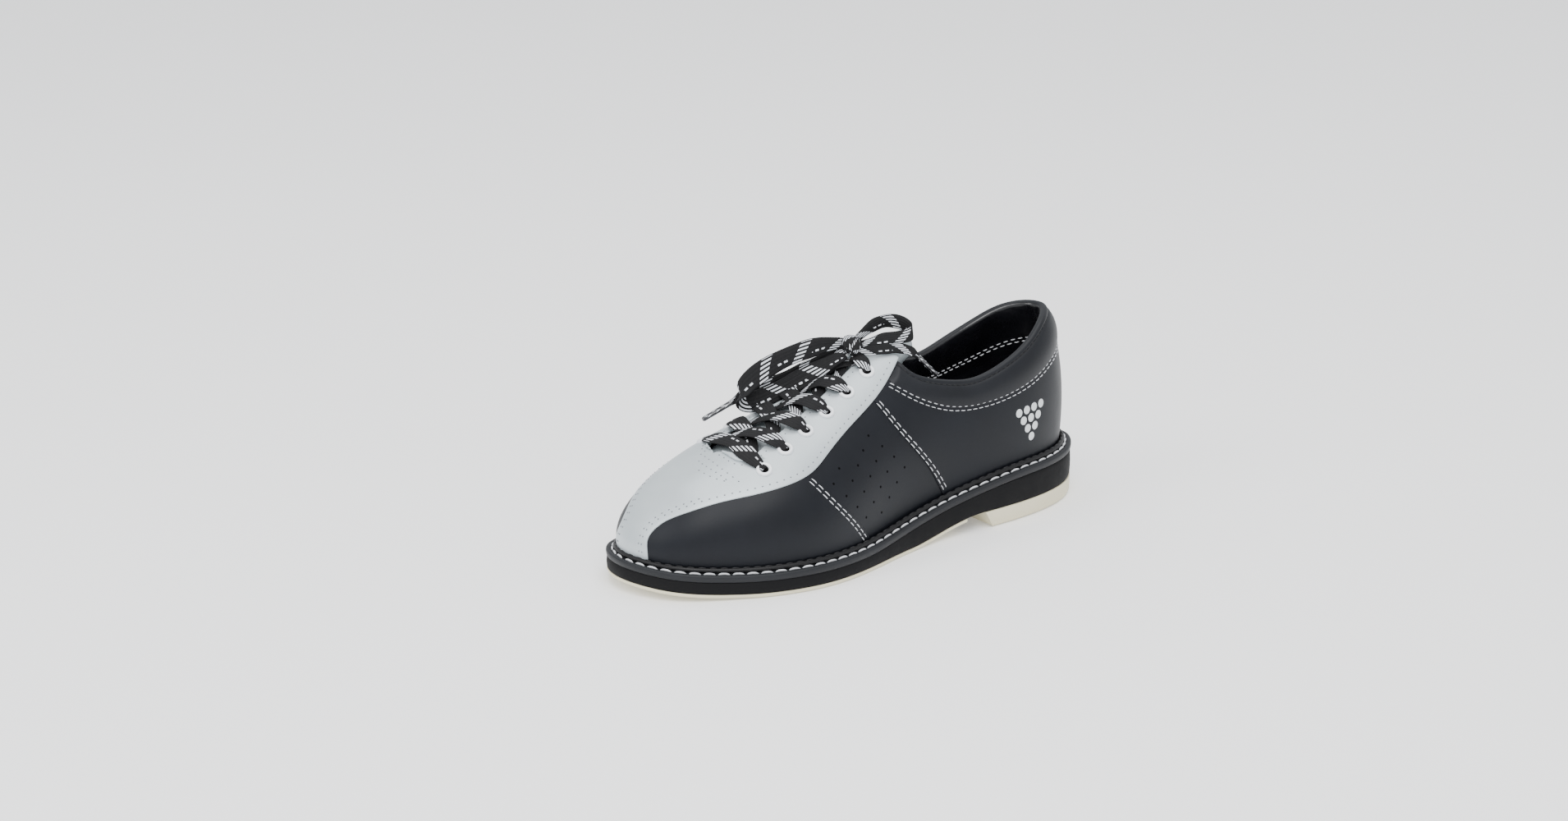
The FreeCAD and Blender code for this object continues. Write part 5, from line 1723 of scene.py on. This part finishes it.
@dataclass
class Tongue:
    """The padded tongue, starting at the throat, and its back."""

    width: float = 37.0
    length: float = 118.0
    rows: int = 60
    half_columns: int = 14
    tuck: float = 8.0

    def grid(self, lift: Callable[[Array, Array], Array], margin: float = 0.0) -> Array:
        """Points of the tongue at a lift that may change with the station and the reach."""
        front = PATTERN.throat_front * LAST.scale + 3
        y = np.linspace(front + margin, front + self.length - margin, self.rows)[:, None]
        taper = 1 - 0.3 * ease(1 - (front + self.length - y) / 22.0)
        half = self.width / 2 * taper
        share = np.linspace(-1, 1, 2 * self.half_columns + 1)[None]
        reach = (half - margin) * share
        tuck = self.tuck * ease((y + 24.0) / 32.0) * (reach / half) ** 2
        x = PATTERN.centre(y) + reach
        places = LAST.above(x, y + 0 * reach)
        return LAST.points(places, lift(y + 0 * reach, share + 0 * y) - tuck)

    def build(self) -> None:
        """Makes and places the tongue's pieces."""
        top = self.grid(lambda y, s: -2.9 + 0.9 * (1 - s ** 2) ** 0.6
                        + 1.1 * ease((y - 6) / 18) * (1 - s ** 2) ** 0.5
                        - 1.4 * ease((y - 26.5) / 7.5))
        low = self.grid(lambda y, s: -6.6 + 0.0 * y, margin=0.6)
        pad = self.closed("tongue_pad", top, low)
        place_piece(pad, SILVER, ["tongue", "tongue_foam"], body="")
        back = self.closed("tongue_back", self.grid(lambda y, s: -6.75 + 0.0 * y, 0.6),
                           self.grid(lambda y, s: -7.7 + 0.0 * y, 0.9))
        place_piece(back, TONGUE_LINING, ["tongue_lining"], body="")
        for piece in (pad, back):
            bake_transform(piece)

    @staticmethod
    def closed(name: str, top: Array, low: Array) -> bpy.types.Object:
        """A closed pad between an upper and a lower grid, with a rounded rim."""
        columns, rows = top.shape[:2]
        middle = (top + low) / 2
        out = middle - middle.mean(axis=(0, 1))
        ring = np.zeros((columns, rows), bool)
        ring[[0, -1], :] = True
        ring[:, [0, -1]] = True
        points = np.concatenate([top.reshape(-1, 3), low.reshape(-1, 3)])
        faces = [list(f[::-1]) for f in grid_faces(columns, rows)]
        faces += [list(f) for f in grid_faces(columns, rows, columns * rows)]
        index = np.arange(columns * rows).reshape(columns, rows)
        loop = np.concatenate([index[:-1, 0], index[-1, :-1], index[1:, -1][::-1], index[0, 1:][::-1]])
        under = columns * rows
        extra = []
        for number in loop:
            a, b = points[number], points[number + under]
            direction = out.reshape(-1, 3)[number]
            direction = direction / np.linalg.norm(direction)
            extra.append((a + b) / 2 + direction * 0.7)
        base = len(points)
        points = np.concatenate([points, np.array(extra)])
        count = len(loop)
        for i in range(count):
            j = (i + 1) % count
            faces.append([loop[i], loop[j], base + j, base + i])
            faces.append([base + i, base + j, loop[j] + under, loop[i] + under])
        thing = new_object(name, points, faces)
        merged(thing, 0.01)
        return thing


# ---------------------------------------------------------------- the lace


def framed(centre: Array, hint: Array) -> tuple[Array, Array]:
    """Vectors across a strap and out of its face, from its line and a hint of its face."""
    run = np.gradient(centre, axis=0)
    run /= np.linalg.norm(run, axis=-1, keepdims=True)
    across = np.cross(run, hint)
    across /= np.linalg.norm(across, axis=-1, keepdims=True)
    up = np.cross(across, run)
    return across, up


@dataclass
class Lacing:
    """The flat lace across the facings."""

    width: float = 7.5
    thickness: float = 1.5
    samples: int = 44
    facing: float = 1.05

    def ribbon(self, name: str, route: Sequence[tuple[float, float]], halves: Sequence[float],
               lifts: Sequence[float], phase: float = 0.0) -> bpy.types.Object:
        """A strap over the last through plan points."""
        marks = np.linspace(0, 1, len(route))
        share = np.linspace(0, 1, self.samples)
        x = natural_cubic(marks, [p[0] for p in route])(share)
        y = natural_cubic(marks, [p[1] for p in route])(share)
        places = LAST.above(x, y)
        lift = natural_cubic(marks, lifts)(share) + self.thickness / 2
        centre = LAST.points(places, lift)
        across, up = framed(centre, LAST.normals(places))
        half = np.maximum(natural_cubic(marks, halves)(share), 1.2)
        thick = np.full(self.samples, self.thickness / 2) * (1 + 0.7 * np.clip(2.6 - half, 0, 1.4))
        return sweep(name, centre, across, up, half, thick, section=18, square=2.4, phase=phase)

    def build(self) -> None:
        """Makes and places the lacing."""
        p = PATTERN
        on_flap = self.facing + 0.15
        full, pinch = self.width * 0.67, 2.0
        left, right = p.eyelet(Side.MEDIAL, 0), p.eyelet(Side.LATERAL, 0)
        middle = (float(p.centre(p.row_front)), p.row_front)
        pieces = [self.ribbon("lace_bar", [left, ((left[0] + middle[0]) / 2, p.row_front - 1.5), middle,
                                           ((right[0] + middle[0]) / 2, p.row_front - 1.5), right],
                              [pinch, full, full * 0.9, full, pinch],
                              [on_flap - 1.0, on_flap + 0.9, on_flap + 0.5, on_flap + 0.9, on_flap - 1.0],
                              phase=9.0)]
        for number in range(1, p.eyelets):
            for side in (Side.MEDIAL, Side.LATERAL):
                pieces += self.span(side, number, on_flap, full, pinch)
        for piece in pieces:
            place_piece(piece, BRAID,
                        ["lacing"] if piece is pieces[0] else ())

    def span(self, side: Side, number: int, on_flap: float, full: float,
             pinch: float) -> list[bpy.types.Object]:
        """The slanted span that rises from under the other facing into an eyelet."""
        p = PATTERN
        s = side.value
        x1, y1 = p.eyelet(side, number)
        y_mid = y1 - p.row_step * 0.42
        centre = (float(p.centre(y_mid)), y_mid)
        y0 = y1 - p.row_step * 0.95
        start = (float(p.centre(y0)) - s * (float(p.throat(y0)) - 0.5), y0)
        cross = on_flap + (0.9 if side is Side.LATERAL else -0.9)
        name = f"lace_span_{side.word}_{number + 1}"
        leaf = ((x1 + centre[0]) / 2, y1 - p.row_step * 0.20)
        near = (x1 - 0.22 * (x1 - centre[0]), y1 - p.row_step * 0.07)
        phase = number * 8.3 + (4.0 if side is Side.LATERAL else 12.5)
        if number < p.eyelets - 1:
            return [self.ribbon(name, [start, centre, leaf, near, (x1, y1 + 0.3)],
                                [full * 0.6, full * 0.8, full, full * 0.86, pinch],
                                [-1.8, cross, on_flap + 2.0, on_flap + 1.0, on_flap - 1.6], phase)]
        end = (2 * centre[0] - start[0], 2 * centre[1] - start[1])
        foot = (float(p.centre(y1)) + s * 3.6, y1 - 1)
        return [self.ribbon(name, [start, centre, end], [full * 0.5, full * 0.6, full * 0.5],
                            [-1.8, cross - 0.4, -1.6]),
                self.ribbon(f"lace_riser_{side.word}", [(x1, y1), ((x1 + foot[0]) / 2, y1 + 0.5), foot],
                            [pinch, full * 0.8, full * 0.45], [on_flap - 1.2, on_flap + 1.6, 4.0])]


@dataclass
class Bow:
    """The tied bow: the knot, two loops and two tails with their tips."""

    knot_centre: tuple = (2.0, -1.0, 101.5)
    loop_front: tuple = (
        (-1.2, -4.8, 102.6), (-2.0, -13.0, 103.8), (-4.0, -23.5, 102.7), (-7.0, -34.0, 100.2),
        (-10.5, -44.0, 96.0), (-14.0, -52.0, 90.3), (-17.2, -56.8, 84.0), (-18.4, -57.0, 78.4),
        (-16.2, -52.3, 76.0), (-12.5, -43.5, 79.2), (-8.5, -33.5, 83.6), (-4.5, -23.5, 88.6),
        (-0.5, -14.5, 93.6), (2.6, -5.8, 98.0))
    loop_rear: tuple = (
        (1.5, 3.5, 104.5), (0.5, 10.5, 107.8), (0.2, 18.0, 109.8), (0.8, 25.0, 109.9),
        (4.0, 30.8, 108.2), (8.8, 33.0, 105.6), (12.6, 30.0, 104.2), (12.8, 23.5, 104.0),
        (10.6, 16.0, 103.9), (8.0, 9.0, 103.2), (5.0, 3.5, 102.0))
    tail_front: tuple = (
        (-1.0, -4.5, 99.5), (-4.5, -11.5, 95.0), (-9.5, -20.5, 90.6), (-14.5, -31.0, 85.8),
        (-19.5, -42.0, 81.4), (-23.6, -52.0, 77.8), (-25.6, -57.5, 74.9))
    tail_rear: tuple = (
        (4.5, 0.5, 98.7), (8.6, 7.0, 98.9), (12.2, 14.6, 99.4), (14.8, 22.0, 98.8),
        (16.0, 27.8, 96.4), (16.5, 31.5, 92.6))
    aglet_length: float = 17.0
    width: float = 7.0
    thickness: float = 1.5

    def route(self, name: str, points: Sequence[tuple[float, float, float]]) -> Array:
        """Points of the smooth line that a lace end follows, in pattern mm."""
        curve = bpy.data.curves.new(name, "CURVE")
        curve.dimensions = "3D"
        curve.resolution_u = 10
        spline = curve.splines.new("NURBS")
        spline.points.add(len(points) - 1)
        for item, point in zip(spline.points, LAST.metres(points)):
            item.co = (*point, 1.0)
        spline.order_u = 3
        spline.use_endpoint_u = True
        carrier = bpy.data.objects.new(name, curve)
        line = bpy.data.meshes.new_from_object(carrier)
        found = np.array([v.co[:] for v in line.vertices])
        bpy.data.objects.remove(carrier)
        bpy.data.curves.remove(curve)
        bpy.data.meshes.remove(line)
        return found / MM - np.array([LAST.ridge_x, 0.0, 0.0])

    def strap(self, name: str, points: Sequence[tuple[float, float, float]], across: Array,
              replaces: str, shrink: tuple[float, float] = (0.6, 0.6),
              width: float | None = None) -> None:
        """One free stretch of the lace.

        Args:
            name: The piece's name.
            points: Its route.
            across: Direction of the strap's width, one for each end of the route.
            replaces: The CAD node that it stands for.
            shrink: Share of the width at its two ends.
            width: The strap's width.
        """
        width = width or self.width
        line = self.route(name, points)
        share = np.linspace(0, 1, len(line))
        hint = across[0] + (across[1] - across[0]) * ease(share)[:, None]
        run = np.gradient(line, axis=0)
        run /= np.linalg.norm(run, axis=-1, keepdims=True)
        side = hint - run * (hint * run).sum(-1, keepdims=True)
        side /= np.linalg.norm(side, axis=-1, keepdims=True)
        up = np.cross(side, run)
        ends = np.minimum(shrink[0] + (1 - shrink[0]) * ease(share * 7),
                          shrink[1] + (1 - shrink[1]) * ease((1 - share) * 7))
        wave = 1 + 0.05 * np.sin(share * 23)
        half = width / 2 * ends * wave
        thick = self.thickness / 2 * (1 + 0.8 * (1 - ends))
        thing = sweep(name, line, side, up, half, thick, section=18, square=2.4)
        place_piece(thing, BRAID, [replaces])
        metres = LAST.metres(line)

    def tip(self, word: str, points: Sequence[tuple[float, float, float]]) -> bpy.types.Object:
        """The moulded tip at the end of a tail."""
        end, before = np.array(points[-1]), np.array(points[-2])
        run = (end - before) / np.linalg.norm(end - before)
        steps = np.array([-0.8, 0.0, 0.3, 4.0, 8.0, 12.0, 16.0, 16.7, 17.0])
        radius = np.array([1.35, 1.5, 1.55, 1.5, 1.48, 1.45, 1.4, 1.1, 0.5])
        centre = end + run * steps[:, None]
        across, up = framed(centre, np.array([0.3, -0.2, 1.0]))
        thing = sweep(f"lace_tip_{word}", centre, across, up, radius, radius * 0.8, section=20,
                      square=2.0)
        place_piece(thing, TIP, [f"aglet_{word}"])
        return thing

    def knot(self) -> None:
        """The knot: a core with a broad band wrapped over it and a strand across its toe side."""
        middle = np.array(self.knot_centre)
        bands = (("knot_band", (1.0, 0.15, 0.1), (5.4, 4.3, 4.6), 3.9, 0.0),
                 ("knot_strand", (0.35, 1.0, -0.1), (4.7, 5.6, 4.0), 3.1, 0.2))
        for name, axis, (rx, ry, rz), half, phase in bands:
            axis_vec = np.array(axis) / np.linalg.norm(axis)
            first = np.cross(axis_vec, [0.0, 0.0, 1.0])
            first /= np.linalg.norm(first)
            second = np.cross(axis_vec, first)
            angle = np.linspace(0, 2 * np.pi, 49)[:-1] + phase
            scale = np.array([rx, ry, rz])
            direction = first * np.cos(angle)[:, None] + second * np.sin(angle)[:, None]
            centre = middle + direction * scale
            across = np.tile(axis_vec, (len(angle), 1))
            out = direction / np.linalg.norm(direction, axis=-1, keepdims=True)
            section = 14
            ring_angle = np.arange(section) * 2 * np.pi / section
            wide = np.sign(np.cos(ring_angle)) * np.abs(np.cos(ring_angle)) ** 0.8
            high = np.sin(ring_angle)
            bulge = 1 - 0.25 * wide ** 2
            points = (centre[:, None] * 1.0 + across[:, None] * (half * wide)[None, :, None]
                      + out[:, None] * ((0.8 * high + bulge - 1)[None, :, None]))
            points = np.concatenate([points, points[:1]])
            run = np.linspace(0, 30, len(points))
            uvs = np.stack(np.broadcast_arrays(run[:, None], wide[None]), -1).reshape(-1, 2)
            thing = new_object(name, points.reshape(-1, 3), grid_faces(len(points), section, wrap=True),
                               uvs)
            merged(thing, 0.005)
            place_piece(thing, BRAID, ["lace_knot"] if name == "knot_band" else ())
        self.core(middle)

    def core(self, middle: Array) -> None:
        """The bundled lace inside the knot."""
        bm = bmesh.new()
        bmesh.ops.create_icosphere(bm, subdivisions=4, radius=1.0)
        points = np.array([v.co[:] for v in bm.verts])
        faces = [[v.index for v in f.verts] for f in bm.faces]
        bm.free()
        ripple = 1 + 0.06 * np.sin(points[:, 0] * 9 + points[:, 2] * 5)
        points = middle + points * np.array([5.0, 5.6, 4.4]) * ripple[:, None]
        uvs = np.stack([points[:, 1] * 2, (points[:, 0] - middle[0]) / 5.5], -1)
        place_piece(new_object("knot_core", points, faces, uvs), BRAID)

    def build(self) -> None:
        """Makes and places the bow."""
        self.knot()
        level, tilted = np.array([-0.05, 0.25, 0.95]), np.array([-0.30, 0.30, 0.90])
        self.strap("bow_loop_front", self.loop_front, np.array([level, tilted]), "lace_loop_front",
                   width=10.2)
        self.strap("bow_loop_rear", self.loop_rear,
                   np.array([[-0.2, -0.1, 0.95], [-0.2, 0.1, 0.95]]), "lace_loop_rear")
        front_tip = self.tip("front", self.tail_front)
        rear_tip = self.tip("rear", self.tail_rear)
        self.strap("bow_tail_front", self.tail_front, np.array([level, tilted]), "lace_tail_front",
                   shrink=(0.6, 0.45))
        self.strap("bow_tail_rear", self.tail_rear, np.array([[-0.3, 0.1, 0.95], [-0.4, 0.3, 0.8]]),
                   "lace_tail_rear", shrink=(0.6, 0.5), width=5.4)


# ---------------------------------------------------------------- the studio


@dataclass
class Studio:
    """The floor, the light and the camera."""

    azimuth_side: tuple = (0.7494, -0.5855, 0.3090)
    target: tuple = (-36.2, -14.9, 59.6)
    distance: float = 2000.0
    lens: float = 88.6

    def build(self) -> None:
        """Makes the studio."""
        bpy.ops.mesh.primitive_plane_add(size=12, location=(0, 0, -0.0004))
        floor = bpy.context.object
        floor.name = "studio_floor_plane"
        FLOOR.dress(floor)
        self.camera()
        self.lights()

    def camera(self) -> None:
        """The camera at the front outer quarter, a little above the shoe."""
        data = bpy.data.cameras.new("front_quarter_camera")
        data.lens = self.lens
        data.sensor_width = 36.0
        camera = bpy.data.objects.new("front_quarter_camera", data)
        bpy.context.scene.collection.objects.link(camera)
        away = Vector(self.azimuth_side).normalized()
        target = Vector(LAST.metres(np.array(self.target)))
        camera.location = target + away * self.distance * MM
        camera.rotation_euler = away.to_track_quat("Z", "Y").to_euler()
        bpy.context.scene.camera = camera

    def lights(self) -> None:
        """Soft boxes and a pale surround."""
        world = bpy.data.worlds.new("pale_surround")
        bpy.context.scene.world = world
        world.use_nodes = True
        world.node_tree.nodes["Background"].inputs[0].default_value = (0.95, 0.97, 1.0, 1.0)
        world.node_tree.nodes["Background"].inputs[1].default_value = 1.05
        boxes = (("key_box", (0.9, -0.5, 1.5), 1.3, 26.0), ("toe_box", (-0.2, -1.6, 1.1), 1.0, 12.0),
                 ("top_box", (-0.2, 0.3, 1.9), 1.6, 18.0))
        for name, place, size, power in boxes:
            data = bpy.data.lights.new(name, "AREA")
            data.shape = "DISK"
            data.size = size
            data.energy = power
            lamp = bpy.data.objects.new(name, data)
            bpy.context.scene.collection.objects.link(lamp)
            lamp.location = place
            lamp.rotation_euler = Vector(place).to_track_quat("Z", "Y").to_euler()


# ---------------------------------------------------------------- the whole shoe


def dress_nodes(frame: dict) -> None:
    """Gives every CAD node the finish of its material slot."""
    slots = {item["node"]: item["material_slot"] for item in frame["record"]["subparts"]}
    for name, node in frame["nodes"].items():
        SLOT_FINISH[slots[name]].dress(node)


def main() -> None:
    """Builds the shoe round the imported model."""
    logging.basicConfig(level=logging.INFO, format="%(name)s %(message)s")
    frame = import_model()
    dress_nodes(frame)
    for part in (Studio(), Bow(), Sole(), Upper(), Collar(), Eyelets(), Tongue(), Lacing()):
        part.build()
        log.info("%s built", type(part).__name__)


if __name__ == "__main__":
    main()
